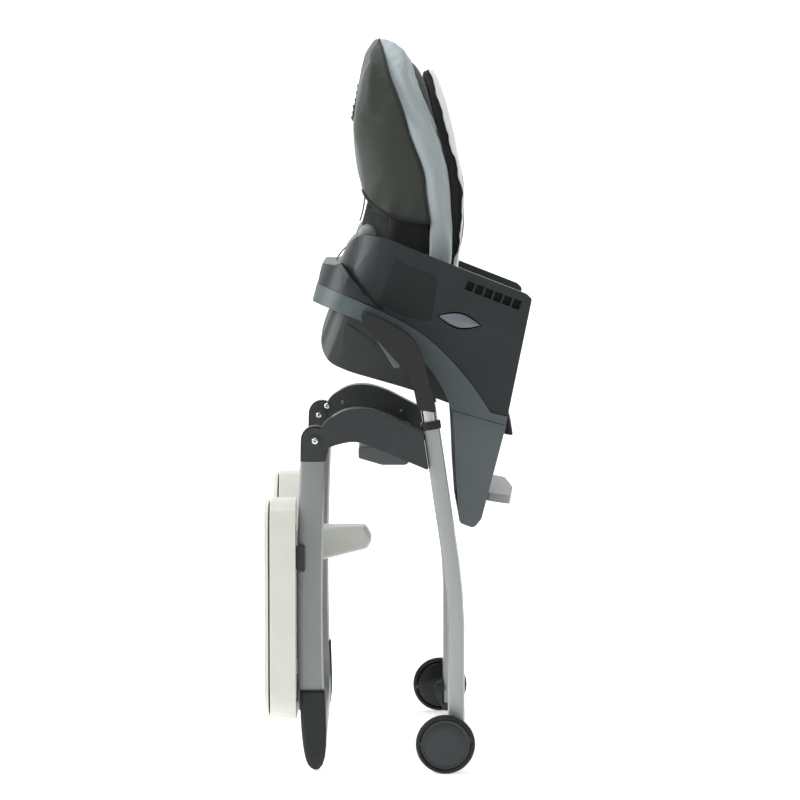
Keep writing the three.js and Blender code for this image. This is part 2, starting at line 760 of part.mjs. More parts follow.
// shallow recess in the tub's side
const RECESS_DEPTH = 0.9;
const sidePanel = [
  [-249, -25, 14],
  [-138, -23, 14],
  [-121, -94, 14],
  [-172, -99, 30],
  [-241, -89, 14],
];

function booster(group) {
  const topSection = [
    [8, -4, 6],
    [-2, 0, 6],
    [-185, 1, SMOOTH],
    [-228, 3, SMOOTH],
    [-270, -6, SMOOTH],
    [-284, -28, SMOOTH],
    [TUB_BACK, -60, 20],
    [TUB_BACK, SEAM_BACK + GAP, 2],
    ...seam.map(([u, w, r]) => [u, w + GAP, r]).reverse(),
  ];
  // the lip at the back that sits on the band
  const lip = [
    [TUB_BACK + 2, -58, 3],
    [TUB_BACK - 5, -65, 4],
    [BAND_BACK - 1, -70, 5],
    [BAND_BACK + 4, SEAM_BACK + GAP, 3],
    [-205, SEAM_BACK + GAP],
    [-262, -72, 30],
  ];
  const lipPlan = upright(plan(BAND_HALF, BAND_BACK - 1, TUB_CORNER + 8));
  const ledge = common(slab(lip, -BAND_HALF, BAND_HALF), lipPlan);
  const tubPlan = upright(plan(TUB_HALF, TUB_BACK, TUB_CORNER));
  const upper = common(slab(topSection, -TUB_HALF, TUB_HALF), tubPlan);
  const wellSection = [
    [24, TUB_FLOOR - FLOOR_THICK + 1],
    [24, -100],
    [-240, -60],
    [-262, -100],
    [-262, TUB_FLOOR - FLOOR_THICK + 1, 20],
  ];
  const wellLow = upright(plan(WELL_HALF, -262, 60));
  const well = common(slab(wellSection, -WELL_HALF, WELL_HALF), wellLow);
  // the room inside opens upwards from a floor that slopes down to the front
  const floorLine = [
    [-300, -92],
    [60, -168],
    [60, 60],
    [-300, 60],
  ];
  const upperRoom = common(
    slab(floorLine, -TUB_HALF, TUB_HALF),
    upright(plan(TUB_HALF - TUB_WALL, TUB_BACK + 10, TUB_CORNER - 10, 90)),
  );
  const wellWall = 6;
  const lowerRoom = common(
    box(-300, 90, -WELL_HALF, WELL_HALF, TUB_FLOOR, 60),
    upright(plan(WELL_HALF - wellWall, -262 + wellWall, 54, 95)),
  );
  const hubRoom = rod(BACK_HUB.u, BACK_HUB.w, BACK_HUB.radius + 1.5, -COVER_HALF - 3, COVER_HALF + 3, 20);
  const backRoom = box(BACK_HUB.u - 8, 0, -COVER_HALF - 3, COVER_HALF + 3, -22, 20);
  const panRoom = box(-300, 100, -PAN_HALF - SLIP, PAN_HALF + SLIP, -300, TUB_FLOOR - FLOOR_THICK + 1);
  const tools = [upperRoom, lowerRoom, hubRoom, backRoom, panRoom];
  for (const { sign } of SIDES) {
    // from a depth below the side face to just outside it
    const through = (depth) => [sign * (TUB_HALF - depth), sign * (TUB_HALF + 1)].sort((a, b) => a - b);
    for (let i = 0; i < LATCH.slots; i += 1) {
      const u = LATCH.u + i * LATCH.pitch;
      tools.push(box(u, u + LATCH.pitch - LATCH.rib, ...through(LATCH.depth), LATCH.low, LATCH.high));
    }
    tools.push(slab(sidePanel, ...through(RECESS_DEPTH)));
    const { u, w, long, tall, depth, turn } = BUTTON;
    const well = lens(u, w, long + 2 * BUTTON_GAP, tall + 2 * BUTTON_GAP, turn);
    tools.push(slab(well, ...through(depth + 4)));
  }
  add(group, "booster_tub", cut(join(upper, well, ledge), ...tools), SLATE);

  const button = slab(
    lens(BUTTON.u, BUTTON.w, BUTTON.long, BUTTON.tall, BUTTON.turn),
    TUB_HALF - BUTTON.depth,
    TUB_HALF + 0.8,
  );
  addPair(group, "booster_button", button, PALE_GREY);
}

function seatPad(group) {
  const low = TUB_FLOOR + GAP;
  const half = WELL_HALF - 10;
  const cushion = plate(
    [
      [22, -half, 20],
      [22, half, 20],
      [-250, half, 50],
      [-250, -half, 50],
    ],
    low,
    low + SEAT_PAD_THICK,
  );
  const flap = slab(
    [
      [15, low + 2],
      [15, low + SEAT_PAD_THICK, 4],
      [27, low + SEAT_PAD_THICK, 6],
      [32, -160, 10],
      [38, -182, 8],
      [62, -222, 3],
      [57, -223, 3],
      [34, -185, 8],
      [28, -160, 10],
      [24.6, low + 2, 1],
    ],
    -62,
    62,
  );
  add(group, "seat_pad", join(cushion, flap), BLACK);

  const top = low + SEAT_PAD_THICK + GAP;
  const stem = box(-54, -51, -STRAP_WIDTH / 2, STRAP_WIDTH / 2, top, top + 18);
  add(group, "crotch_strap", stem, BLACK);
  const buckle = plate(
    [
      [-60, -27, 7],
      [-45, -27, 7],
      [-45, 27, 7],
      [-60, 27, 7],
    ],
    top + 18 + GAP,
    top + 50,
  );
  add(group, "harness_buckle", buckle, CHARCOAL);
}

// ---------- backrest ----------
const shellSection = [
  [-225, -12, 5],
  [-214, 2, 8],
  [-228, 50, 20],
  [-266, 130, 40],
  [-318, 232, 20],
  [-334, 236, 8],
  [-332, 190, 20],
  [-326, 152, 30],
  [-296, 92, 20],
  [-279, 50, 20],
  [-274, 8, 6],
  [-262, -15, 8],
];
const padFront = [
  [-104, -112],
  [-112, -60, 60],
  [-127, 4, 40],
  [-153, 61, 60],
  [-182, 116, 60],
  [-210, 162, 60],
  [-243, 198, 60],
];

// the raised dark panel in the middle of the pad's front, near its top
const panelFront = [
  [-191, 150],
  [-222, 192, 60],
  [-249, 231, 60],
  [-270, 254, 20],
  [-286, 266, 10],
  [-299, 268],
];

function backrest(group) {
  const hub = rod(BACK_HUB.u, BACK_HUB.w, BACK_HUB.radius, -SHELL_HALF, SHELL_HALF, 20);
  const board = slab(shellSection, -SHELL_HALF, SHELL_HALF);
  const hollowSection = offset(anticlockwise(shellSection), -5).map(([u, w, r]) => [u, Math.max(w, 26), r]);
  const hollow = slab(hollowSection, 8 - SHELL_HALF, SHELL_HALF - 8);
  const slot = (w) => box(-400, -100, -52, 52, w, w + 10);
  const inside = common(hollow, box(-400, -100, -300, 300, 30, 220));
  const body = cut(join(hub, board), inside, slot(150), slot(100));
  add(group, "back_shell", body, WARM_GREY);

  const fit = 1;
  const jacket = [
    [-289, 58, 4],
    [-242, 38, 10],
    [-180, 50, 4],
    [-212, 105, 60],
    [-241, 134, 60],
    [-286, 191, 60],
    [-322, 244, 20],
    [-350, 282, 10],
    [-358, 268, 10],
    [-354, 242, 30],
    [-345, 200, 30],
    [-338, 152, 30],
    [-304, 88, 30],
  ];
  const room = slab(offset(anticlockwise(shellSection), fit), -SHELL_HALF - fit, SHELL_HALF + fit);
  add(group, "back_cover", cut(slab(jacket, -COVER_HALF, COVER_HALF), room), OLIVE);

  const cushion = [
    ...padFront,
    [-299, 268, 30],
    [-326, 280, 14],
    [-348, 283, 3],
    [-321, 245, 20],
    [-285, 192, 60],
    [-240, 135, 60],
    [-211, 106, 60],
    [-179, 52, 10],
    [-170, 30, 20],
    [-152, -30, 30],
    [-140, -112],
  ].map(([u, w, r], i) => (i >= padFront.length + 2 ? [u + GAP, w + GAP, r] : [u, w, r]));
  const panel = slab([...panelFront, [-243, 190], [-210, 158]], -PANEL_HALF, PANEL_HALF);
  add(group, "back_pad", join(slab(cushion, -PAD_HALF, PAD_HALF), panel), BLUE_GREY);

  const backFit = ([u, w, r]) => [u + 2 * GAP, w + GAP, r];
  const insertFront = [
    [-254, 269, 8],
    [-237, 250, 30],
    [-210, 211, 60],
    [-180, 165, 60],
    [-149, 119, 60],
    [-129, 61, 60],
    [-112, 4, 60],
    [-96, -60, 60],
  ];
  const insert = [
    ...padFront.slice(0, 5).map(backFit),
    ...panelFront.slice(0, 4).map(backFit),
    [-268, 264, 4],
    [-263, 270, 5],
    ...insertFront,
    [-88, -112],
  ];
  add(group, "infant_insert", slab(insert, -INSERT_HALF, INSERT_HALF), BLACK);

  // the straps start below the rounded top of the insert
  const front = insertFront.slice(3).map(([u, w]) => [u + 1.4, w + 0.8]);
  for (const side of SIDES) {
    const y = side.sign * STRAP_Y;
    const line = strap(front, -STRAP_THICK, y - STRAP_WIDTH / 2, y + STRAP_WIDTH / 2);
    add(group, `shoulder_strap_${side.name}`, line, BLACK);
  }

  // the end of the harness strap, below the cover's hem
  const loop = [
    [-293, 52],
    [-286, 38],
    [-283.5, 18],
  ];
  add(group, "harness_back_strap", strap(loop, -STRAP_THICK, -STRAP_WIDTH / 2, STRAP_WIDTH / 2), BLACK);
}

// ---------- tray ----------
const trayOutline = (inset) => [
  [-TRAY_HALF + inset, TRAY_LOW_Z + 16 + inset, 60],
  [0, TRAY_LOW_Z + inset, 900],
  [TRAY_HALF - inset, TRAY_LOW_Z + 16 + inset, 60],
  [TRAY_HALF - inset, TRAY_HIGH_Z - inset, 50],
  [175 + inset, TRAY_HIGH_Z - inset, 40],
  [120 + inset / 2, TRAY_HIGH_Z - 58 - inset, 60],
  [-120 - inset / 2, TRAY_HIGH_Z - 58 - inset, 60],
  [-175 - inset, TRAY_HIGH_Z - inset, 40],
  [-TRAY_HALF + inset, TRAY_HIGH_Z - inset, 50],
];
const PEG = { z0: 303, z1: 346, inner: LEG_Y + REAR_WIDTH / 2 + GAP, outer: LEG_Y + REAR_WIDTH / 2 + 7 };

function pegs(group) {
  const hook = slab(
    [
      [TRAY_FRONT_X - 9, PEG.z0 + 12, 3],
      [HUB.x - 16, PEG.z0, 4],
      [HUB.x - 16, PEG.z1, 4],
      [TRAY_FRONT_X - 9, PEG.z1 - 2, 3],
    ],
    PEG.inner,
    PEG.outer,
  );
  addPair(group, "tray_peg", hook, CHARCOAL);
}

function tray(group) {
  const shellBase = wallPlate(trayOutline(0), TRAY_BACK_X, TRAY_FRONT_X);
  const dishRoom = wallPlate(trayOutline(TRAY_RIM - 2), TRAY_BACK_X - 1, TRAY_BACK_X + DISH_DEPTH + 1);
  const under = wallPlate(trayOutline(TRAY_WALL), TRAY_BACK_X + DISH_DEPTH + 1 + TRAY_WALL, TRAY_FRONT_X + 1);
  const side = PEG.outer + SLIP;
  const pegRoom = (sign) =>
    box(
      TRAY_FRONT_X - 10.5,
      TRAY_FRONT_X + 1,
      Math.min(sign * (PEG.inner - 40), sign * side),
      Math.max(sign * (PEG.inner - 40), sign * side),
      PEG.z0 - 2,
      PEG.z1 + 2,
    );
  add(group, "tray_base", cut(shellBase, dishRoom, under, pegRoom(1), pegRoom(-1)), WHITE);

  const floorX = TRAY_BACK_X + DISH_DEPTH + 1 + TRAY_WALL + GAP;
  addPair(group, "tray_rail", box(floorX, TRAY_FRONT_X - 1, 196, 224, 100, 372), BAND_GREY);

  const post = slab(
    [
      [floorX, 283],
      [-108, 293, 30],
      [-36, 311, 12],
      [-28, 326, 12],
      [-38, 346, 12],
      [floorX, 346],
    ],
    -27,
    27,
  );
  add(group, "crotch_post", post, MILKY);
}

function trayInsert(group) {
  const lip = wallPlate(trayOutline(3), TRAY_BACK_X - LIP_GAP - LIP_THICK, TRAY_BACK_X - LIP_GAP);
  const dish = wallPlate(trayOutline(TRAY_RIM), TRAY_BACK_X - LIP_GAP - 1, TRAY_BACK_X + DISH_DEPTH);
  const room = wallPlate(
    trayOutline(TRAY_RIM + 3),
    TRAY_BACK_X - LIP_GAP - LIP_THICK - 1,
    TRAY_BACK_X + DISH_DEPTH - 3,
  );
  add(group, "tray_insert", cut(join(lip, dish), room), WHITE);
}

function trayRelease(group) {
  const lever = box(TRAY_FRONT_X - 9, TRAY_FRONT_X - 3, -38, 38, TRAY_LOW_Z + 8, TRAY_LOW_Z + 40);
  add(group, "tray_release", lever, BLACK);
}

const chair = new THREE.Group();
frontFrame(chair);
wheels(chair);
hingeArms(chair);
foldHandle(chair);
rearFrame(chair);
seatBrackets(chair);
chair.add(seat);
band(seat);
pan(seat);
calf(seat);
footrest(seat);
booster(seat);
seatPad(seat);
backrest(seat);
pegs(chair);
tray(chair);
trayInsert(chair);
trayRelease(chair);

// the origin lies on the floor under the middle of the chair's bounding box
chair.updateMatrixWorld(true);
const bounds = new THREE.Box3().setFromObject(chair, true);
chair.position.x = -(bounds.min.x + bounds.max.x) / 2;

const root = new THREE.Group();
root.add(chair);
export default root;
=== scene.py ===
import json
import math

import bmesh
import bpy
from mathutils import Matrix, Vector, noise
from mathutils.bvhtree import BVHTree


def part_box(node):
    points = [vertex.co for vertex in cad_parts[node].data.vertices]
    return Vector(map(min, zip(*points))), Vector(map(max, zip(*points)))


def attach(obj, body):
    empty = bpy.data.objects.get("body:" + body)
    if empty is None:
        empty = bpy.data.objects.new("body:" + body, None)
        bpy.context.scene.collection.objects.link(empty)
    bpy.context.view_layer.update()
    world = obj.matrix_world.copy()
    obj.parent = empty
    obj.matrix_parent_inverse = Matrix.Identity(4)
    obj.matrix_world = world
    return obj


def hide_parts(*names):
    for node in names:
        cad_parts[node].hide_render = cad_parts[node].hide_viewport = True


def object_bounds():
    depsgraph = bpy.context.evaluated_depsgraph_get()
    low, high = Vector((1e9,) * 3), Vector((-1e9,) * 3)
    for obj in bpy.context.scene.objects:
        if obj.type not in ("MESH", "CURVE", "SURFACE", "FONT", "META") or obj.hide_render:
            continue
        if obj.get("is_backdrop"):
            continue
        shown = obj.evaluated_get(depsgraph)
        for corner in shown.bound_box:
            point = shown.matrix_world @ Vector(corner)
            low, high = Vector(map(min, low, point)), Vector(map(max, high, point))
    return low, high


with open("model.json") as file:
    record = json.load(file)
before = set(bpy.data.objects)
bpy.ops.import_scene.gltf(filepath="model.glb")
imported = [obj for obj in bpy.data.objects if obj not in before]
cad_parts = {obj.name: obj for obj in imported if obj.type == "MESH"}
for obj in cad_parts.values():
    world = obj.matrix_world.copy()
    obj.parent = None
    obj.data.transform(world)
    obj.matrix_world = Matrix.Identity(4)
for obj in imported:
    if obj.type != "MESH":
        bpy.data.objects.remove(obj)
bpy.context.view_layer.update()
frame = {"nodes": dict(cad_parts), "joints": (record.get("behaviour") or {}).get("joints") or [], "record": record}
scene = bpy.context.scene
mm = 0.001

# ---------- camera ----------
# A long lens, level with the backrest and a little above the seat, square on to the child's right side.
# The chair stands on the floor plane at z = 0.
def placed(name, data):
    made = bpy.data.objects.new(name, data)
    scene.collection.objects.link(made)
    return made


CAMERA_PLACE = (-0.0125, -5.29, 0.9558)
CAMERA_DOWN = math.radians(4.44)
CAMERA_TURN = math.radians(0.17)
camera = placed("camera", bpy.data.cameras.new("camera"))
camera.data.lens = 150.75
camera.data.clip_end = 40
camera.location = CAMERA_PLACE
camera.rotation_euler = (math.pi / 2 - CAMERA_DOWN, 0, -CAMERA_TURN)
scene.camera = camera


# ---------- studio ----------
# A seamless pale sweep that glows a little, as lit paper does, and large soft lamps: a broad key from the
# upper left, a weak fill, one overhead, and one behind that draws the bright edges on the dark mouldings.
def sweep_backdrop():
    mesh = bpy.data.meshes.new("backdrop")
    reach, bend, start = 9.0, 2.5, 3.0
    rise = [(-reach, 0.0), (start, 0.0)]
    for k in range(1, 9):
        angle = math.pi / 16 * k
        rise.append((start + bend * math.sin(angle), bend - bend * math.cos(angle)))
    rise.append((start + bend, reach))
    verts = [(x, y, z) for y, z in rise for x in (-reach, reach)]
    faces = [(2 * k, 2 * k + 1, 2 * k + 3, 2 * k + 2) for k in range(len(rise) - 1)]
    mesh.from_pydata(verts, [], faces)
    for face in mesh.polygons:
        face.use_smooth = True
    backdrop = placed("backdrop", mesh)
    paper = bpy.data.materials.new("paper")
    paper.use_nodes = True
    look = {"Base Color": (0.9, 0.9, 0.9, 1), "Roughness": 0.95, "Specular IOR Level": 0.1,
            "Emission Color": (1, 1, 1, 1), "Emission Strength": 0.56}
    for socket, value in look.items():
        paper.node_tree.nodes["Principled BSDF"].inputs[socket].default_value = value
    mesh.materials.append(paper)
    backdrop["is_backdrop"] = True


def soft_lamp(name, place, aim, size, power):
    lamp = placed(name, bpy.data.lights.new(name, "AREA"))
    lamp.data.shape = "RECTANGLE"
    lamp.data.size, lamp.data.size_y = size
    lamp.data.energy = power
    lamp.location = place
    lamp.rotation_euler = (Vector(aim) - Vector(place)).to_track_quat("-Z", "Y").to_euler()


sweep_backdrop()
soft_lamp("key_lamp", (-3.4, -0.9, 2.4), (0, 0, 0.7), (2.2, 2.2), 120)
soft_lamp("fill_lamp", (2.4, -3.6, 1.5), (0, 0, 0.5), (1.6, 2.4), 6)
soft_lamp("top_lamp", (-0.3, 0.1, 3.4), (0, 0, 0.5), (2.4, 2.4), 55)
soft_lamp("back_lamp", (2.4, 2.0, 1.7), (0, 0, 0.6), (1.0, 2.4), 35)
scene.world = bpy.data.worlds.new("studio")
scene.world.use_nodes = True
scene.world.node_tree.nodes["Background"].inputs["Color"].default_value = (1, 1, 1, 1)
scene.world.node_tree.nodes["Background"].inputs["Strength"].default_value = 0.27
scene.view_settings.view_transform = "Standard"


# ---------- leg tubes ----------
# Oval steel tubes, rolled and bent, with a satin light grey metallic powder coat. The front pair is open
# at the top for the inner tubes; the rear pair stands on a bent bar that joins them at the floor. The rear
# pair and its bar take the same coat in a darker colour, which is painted shade.
class Wire:
    """A shader socket that takes part in arithmetic."""

    def __init__(self, finish, socket):
        self.finish, self.socket = finish, socket

    def math(self, operation, first, second):
        return self.finish.node("ShaderNodeMath", {"operation": operation}, first, second)

    def __add__(self, other): return self.math("ADD", self, other)
    def __radd__(self, other): return self.math("ADD", other, self)
    def __sub__(self, other): return self.math("SUBTRACT", self, other)
    def __rsub__(self, other): return self.math("SUBTRACT", other, self)
    def __mul__(self, other): return self.math("MULTIPLY", self, other)
    def __rmul__(self, other): return self.math("MULTIPLY", other, self)
    def __gt__(self, other): return self.math("GREATER_THAN", self, other)


class Finish:
    """A material whose nodes are made by calls: numbers and wires go in, a wire comes out."""

    def __init__(self, name, **constants):
        self.material = bpy.data.materials.new(name)
        self.material.use_nodes = True
        self.tree = self.material.node_tree
        self.shader = self.tree.nodes["Principled BSDF"]
        for socket, value in constants.items():
            self.shader.inputs[socket.replace("_", " ")].default_value = value

    def plug(self, socket, value):
        if isinstance(value, Wire):
            self.tree.links.new(value.socket, socket)
        elif value is not None:
            socket.default_value = value

    def node(self, kind, settings=None, *values, out=0, **named):
        made = self.tree.nodes.new(kind)
        for key, value in (settings or {}).items():
            setattr(made, key, value)
        for index, value in enumerate(values):
            self.plug(made.inputs[index], value)
        for key, value in named.items():
            self.plug(made.inputs[key.replace("_", " ")], value)
        return Wire(self, made.outputs[out])

    def place(self):
        return self.node("ShaderNodeTexCoord", out="Object")

    def axes(self):
        split = self.node("ShaderNodeSeparateXYZ", None, self.place())
        return [Wire(self, split.socket.node.outputs[axis]) for axis in "XYZ"]

    def noise(self, scale, detail=2.0, rough=0.5):
        return self.node("ShaderNodeTexNoise", None, Vector=self.place(), Scale=scale, Detail=detail,
                         Roughness=rough)

    def mix(self, factor, first, second):
        blend = self.tree.nodes.new("ShaderNodeMix")
        blend.data_type = "RGBA"
        self.plug(blend.inputs["Factor"], factor)
        self.plug(blend.inputs[6], first)
        self.plug(blend.inputs[7], second)
        return Wire(self, blend.outputs[2])

    def bump(self, height, depth, strength=1.0):
        return self.node("ShaderNodeBump", None, Strength=strength, Distance=depth, Height=height)

    def feed(self, **wires):
        for socket, wire in wires.items():
            self.plug(self.shader.inputs[socket.replace("_", " ")], wire)
        return self.material


def shade(colour, factor):
    return (*[min(1, part * factor) for part in colour[:3]], 1)


def powder_coat(name, colour):
    finish = Finish(name, Metallic=0.3, Coat_Weight=0.12, Coat_Roughness=0.3)
    flake = finish.noise(2600, 1)
    cloud = finish.noise(9, 3)
    return finish.feed(
        Base_Color=finish.mix(cloud * 0.6 + flake * 0.4, shade(colour, 0.88), shade(colour, 1.12)),
        Roughness=0.34 + 0.12 * cloud,
        Normal=finish.bump(finish.noise(900, 2), 0.00012, 0.5),
    )


def settled(name, mesh, work):
    """Writes an edited mesh back, smooth shaded, and puts it in the scene."""
    for face in work.faces:
        face.smooth = True
    work.to_mesh(mesh)
    work.free()
    return placed(name, mesh)


def copy_of(node, name):
    mesh = frame["nodes"][node].data.copy()
    mesh.materials.clear()
    work = bmesh.new()
    work.from_mesh(mesh)
    bmesh.ops.remove_doubles(work, verts=work.verts, dist=1e-5)
    bmesh.ops.dissolve_limit(work, angle_limit=math.radians(0.6), verts=work.verts, edges=work.edges)
    return settled(name, mesh, work)


def fitted(piece, material, body, slot, *nodes):
    """Gives a finished piece its material, its body, and the CAD nodes that it stands for."""
    piece.data.materials.clear()
    piece.data.materials.append(material)
    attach(piece, body)
    if nodes:
        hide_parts(*nodes)
    return piece


def body_of(node):
    return next(body for body, nodes in frame["record"]["behaviour"]["bodies"].items() if node in nodes)


def slot_of(node):
    return next(part["material_slot"] for part in frame["record"]["subparts"] if part["node"] == node)


def corners_of(node):
    return [Vector(corner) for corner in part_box(node)]


def edged(piece, width, angle=28, segments=3):
    bevel = piece.modifiers.new("edges", "BEVEL")
    bevel.width = width
    bevel.segments = segments
    bevel.limit_method = "ANGLE"
    bevel.angle_limit = math.radians(angle)
    bevel.harden_normals = True
    weighted = piece.modifiers.new("even_shading", "WEIGHTED_NORMAL")
    weighted.keep_sharp = True
    return piece


def moulded(node, material, edge=1.2 * mm, angle=28):
    """The node's own shape with its edges rounded, as a mould leaves them."""
    piece = edged(copy_of(node, f"{node}_moulding"), edge, angle)
    return fitted(piece, material, body_of(node), slot_of(node), node)


SIDES = (("left", 1), ("right", -1))
front_paint = powder_coat("front_leg_powder_coat", (0.356, 0.378, 0.373))
# The rear legs and crossbar use the front legs' powder coat made darker: painted shade on the same paint.
rear_paint_painted_shade = powder_coat("rear_leg_powder_coat_painted_shade", (0.235, 0.25, 0.245))
for side, _ in SIDES:
    moulded(f"front_leg_{side}", front_paint, 0.5 * mm)
    moulded(f"rear_leg_{side}", rear_paint_painted_shade, 0.5 * mm)
moulded("rear_crossbar", rear_paint_painted_shade, 0.5 * mm)


# ---------- inner tubes and leg collars ----------
# Drawn steel tubes carry the seat and slide in the front legs. A glossy black nylon collar, pressed on the
# mouth of each leg, guides them.
def plated(name, colour, roughness):
    finish = Finish(name, Metallic=1.0)
    wear = finish.noise(160, 4)
    return finish.feed(
        Base_Color=finish.mix(wear, shade(colour, 0.85), colour),
        Roughness=roughness + 0.12 * wear,
        Normal=finish.bump(finish.noise(1500, 2), 0.00005, 0.3),
    )


def moulded_plastic(name, colour, roughness=0.42, grain=0.6, scale=1100):
    finish = Finish(name, Specular_IOR_Level=0.32)
    cloud = finish.noise(14, 4, 0.6)
    return finish.feed(
        Base_Color=finish.mix(cloud, shade(colour, 0.9), shade(colour, 1.12)),
        Roughness=roughness - 0.06 + 0.14 * cloud,
        Normal=finish.bump(finish.noise(scale, 2), 0.00016, grain),
    )


drawn_steel = plated("drawn_steel", (0.62, 0.63, 0.63, 1), 0.22)
collar_black = moulded_plastic("collar_black_nylon", (0.014, 0.015, 0.015), 0.22, 0.2)
for side, _ in SIDES:
    moulded(f"inner_tube_{side}", drawn_steel, 0.5 * mm)
    moulded(f"leg_collar_{side}", collar_black, 1.6 * mm)


# ---------- wheels ----------
# Each wheel is a grey polypropylene disc with a black rubber tyre moulded round it and a domed black
# inner cover. It turns on a black axle held in a charcoal nylon shoe at the foot of the leg.
def open_mesh(name, verts, faces):
    mesh = bpy.data.meshes.new(name)
    mesh.from_pydata([tuple(vert) for vert in verts], [], faces)
    work = bmesh.new()
    work.from_mesh(mesh)
    bmesh.ops.remove_doubles(work, verts=work.verts, dist=1e-6)
    bmesh.ops.recalc_face_normals(work, faces=work.faces)
    return settled(name, mesh, work)


def turned(name, profile, centre, out, steps=72):
    """Turns a profile of (radius, outward) millimetres about a line through centre, along Y."""
    verts, faces = [], []
    for k in range(steps):
        angle = 2 * math.pi * k / steps
        for radius, across in profile:
            x, z = radius * math.cos(angle) * mm, radius * math.sin(angle) * mm
            verts.append(centre + Vector((x, out * across * mm, z)))
    count = len(profile)
    for k in range(steps):
        for j in range(count - 1):
            ahead = (k + 1) % steps
            faces.append((k * count + j, k * count + j + 1, ahead * count + j + 1, ahead * count + j))
    return open_mesh(name, verts, faces)


class Pattern:
    """A Geometry Nodes tree with named inputs; it repeats a small shape and ends in one plain mesh."""

    def __init__(self, name, **inputs):
        self.group = bpy.data.node_groups.new(name, "GeometryNodeTree")
        face = self.group.interface
        face.new_socket("Geometry", in_out="OUTPUT", socket_type="NodeSocketGeometry")
        inputs = {"Geometry": "Geometry", **inputs, "Finish": "Material"}
        self.keys = {
            label: face.new_socket(label, in_out="INPUT", socket_type=f"NodeSocket{kind}").identifier
            for label, kind in inputs.items()
        }
        self.start = self.group.nodes.new("NodeGroupInput")

    def given(self, label):
        return self.start.outputs[label]

    def node(self, kind, settings=None, out=0, **sockets):
        made = self.group.nodes.new(kind)
        for key, value in (settings or {}).items():
            setattr(made, key, value)
        for key, value in sockets.items():
            socket = made.inputs[key.replace("_", " ")]
            if isinstance(value, bpy.types.NodeSocket):
                self.group.links.new(value, socket)
            else:
                socket.default_value = value
        return made.outputs[out]

    def close(self, geometry):
        real = self.node("GeometryNodeRealizeInstances", Geometry=geometry)
        done = self.node("GeometryNodeSetMaterial", Geometry=real, Material=self.given("Finish"))
        self.group.links.new(done, self.group.nodes.new("NodeGroupOutput").inputs[0])
        return self

    def grow(self, name, finish, base=None, **values):
        carrier = placed(f"{name}_carrier", base or bpy.data.meshes.new(name))
        modifier = carrier.modifiers.new("pattern", "NODES")
        modifier.node_group = self.group
        for label, value in {**values, "Finish": finish}.items():
            modifier[self.keys[label]] = value
        evaluated = carrier.evaluated_get(bpy.context.evaluated_depsgraph_get())
        mesh = bpy.data.meshes.new_from_object(evaluated)
        bpy.data.objects.remove(carrier)
        return placed(name, mesh)


tread = Pattern("tyre_tread", Count="Int", Radius="Float", Long="Float", Wide="Float", High="Float",
                Axle="Vector")
ring = tread.node("GeometryNodeMeshCircle", Vertices=tread.given("Count"), Radius=tread.given("Radius"))
bar = tread.node("GeometryNodeMeshUVSphere", Segments=6, Rings=4, Radius=1.0)
bar_size = tread.node("ShaderNodeCombineXYZ", X=tread.given("High"), Y=tread.given("Wide"),
                      Z=tread.given("Long"))
bar = tread.node("GeometryNodeTransform", Geometry=bar, Scale=bar_size)
facing = tread.node("FunctionNodeAlignRotationToVector", {"axis": "X", "pivot_axis": "Z"},
                    Vector=tread.node("GeometryNodeInputPosition"))
bars = tread.node("GeometryNodeInstanceOnPoints", Points=ring, Instance=bar, Rotation=facing)
tread.close(tread.node("GeometryNodeTransform", Geometry=bars, Rotation=(math.pi / 2, 0, 0),
                       Translation=tread.given("Axle")))

DISC_OUTSIDE = [(0, 23.6), (20, 23.3), (32.2, 22.9), (32.9, 22.3), (33.6, 22.3), (34.3, 23), (36.6, 23.2),
                (37.9, 22.4), (38.3, 21), (38.3, 12), (0, 12)]
DOME_INSIDE = [(0, 0.5), (8, 0.7), (16, 1.6), (24, 3.2), (30, 5.2), (34.5, 7.4), (37.4, 9.8), (38.3, 12),
               (0, 12)]
TYRE_ROUND = [(38.4, 11), (39.4, 9.2), (41.2, 9.6), (43.2, 11.6), (44.4, 14.4), (44.9, 18), (44.5, 21.6),
              (43.2, 24), (41.4, 25), (39.6, 24.8), (38.6, 23.4), (38.4, 11)]
charcoal = moulded_plastic("charcoal_nylon", (0.033, 0.038, 0.040), 0.45)
disc_grey = moulded_plastic("wheel_disc_polypropylene", (0.036, 0.042, 0.044), 0.5)
dome_black = moulded_plastic("wheel_dome_polypropylene", (0.012, 0.013, 0.013), 0.25, 0.2)
rubber = moulded_plastic("tyre_rubber", (0.011, 0.012, 0.012), 0.55, 1.0, 700)
bright_steel = plated("bright_steel", (0.72, 0.72, 0.72, 1), 0.12)
WHEEL_WIDTH, TREAD_ACROSS = 26, 18
for side, out in SIDES:
    low, high = corners_of(f"wheel_tyre_{side}")
    middle = (low + high) / 2
    inner_face = (high.y if out > 0 else low.y) - out * WHEEL_WIDTH * mm
    hub = Vector((middle.x, inner_face, middle.z))
    body = f"wheel_{side}"
    for name, profile, plastic in (("cap", DISC_OUTSIDE, disc_grey), ("dome", DOME_INSIDE, dome_black)):
        piece = turned(f"wheel_{name}_{side}", profile, hub, out)
        fitted(piece, plastic, body, "wheel_grey", f"wheel_disc_{side}")
    fitted(turned(f"tyre_{side}", TYRE_ROUND, hub, out), rubber, body, "tyre", f"wheel_tyre_{side}")
    ribs = tread.grow(f"tyre_tread_{side}", rubber, Count=90, Radius=44.7 * mm, Long=5.5 * mm, Wide=0.5 * mm,
                      High=0.35 * mm, Axle=hub + Vector((0, out * TREAD_ACROSS * mm, 0)))
    fitted(ribs, rubber, body, "tyre")
    moulded(f"wheel_mount_{side}", charcoal, 1.6 * mm)
    moulded(f"wheel_axle_{side}", dome_black, 0.6 * mm)


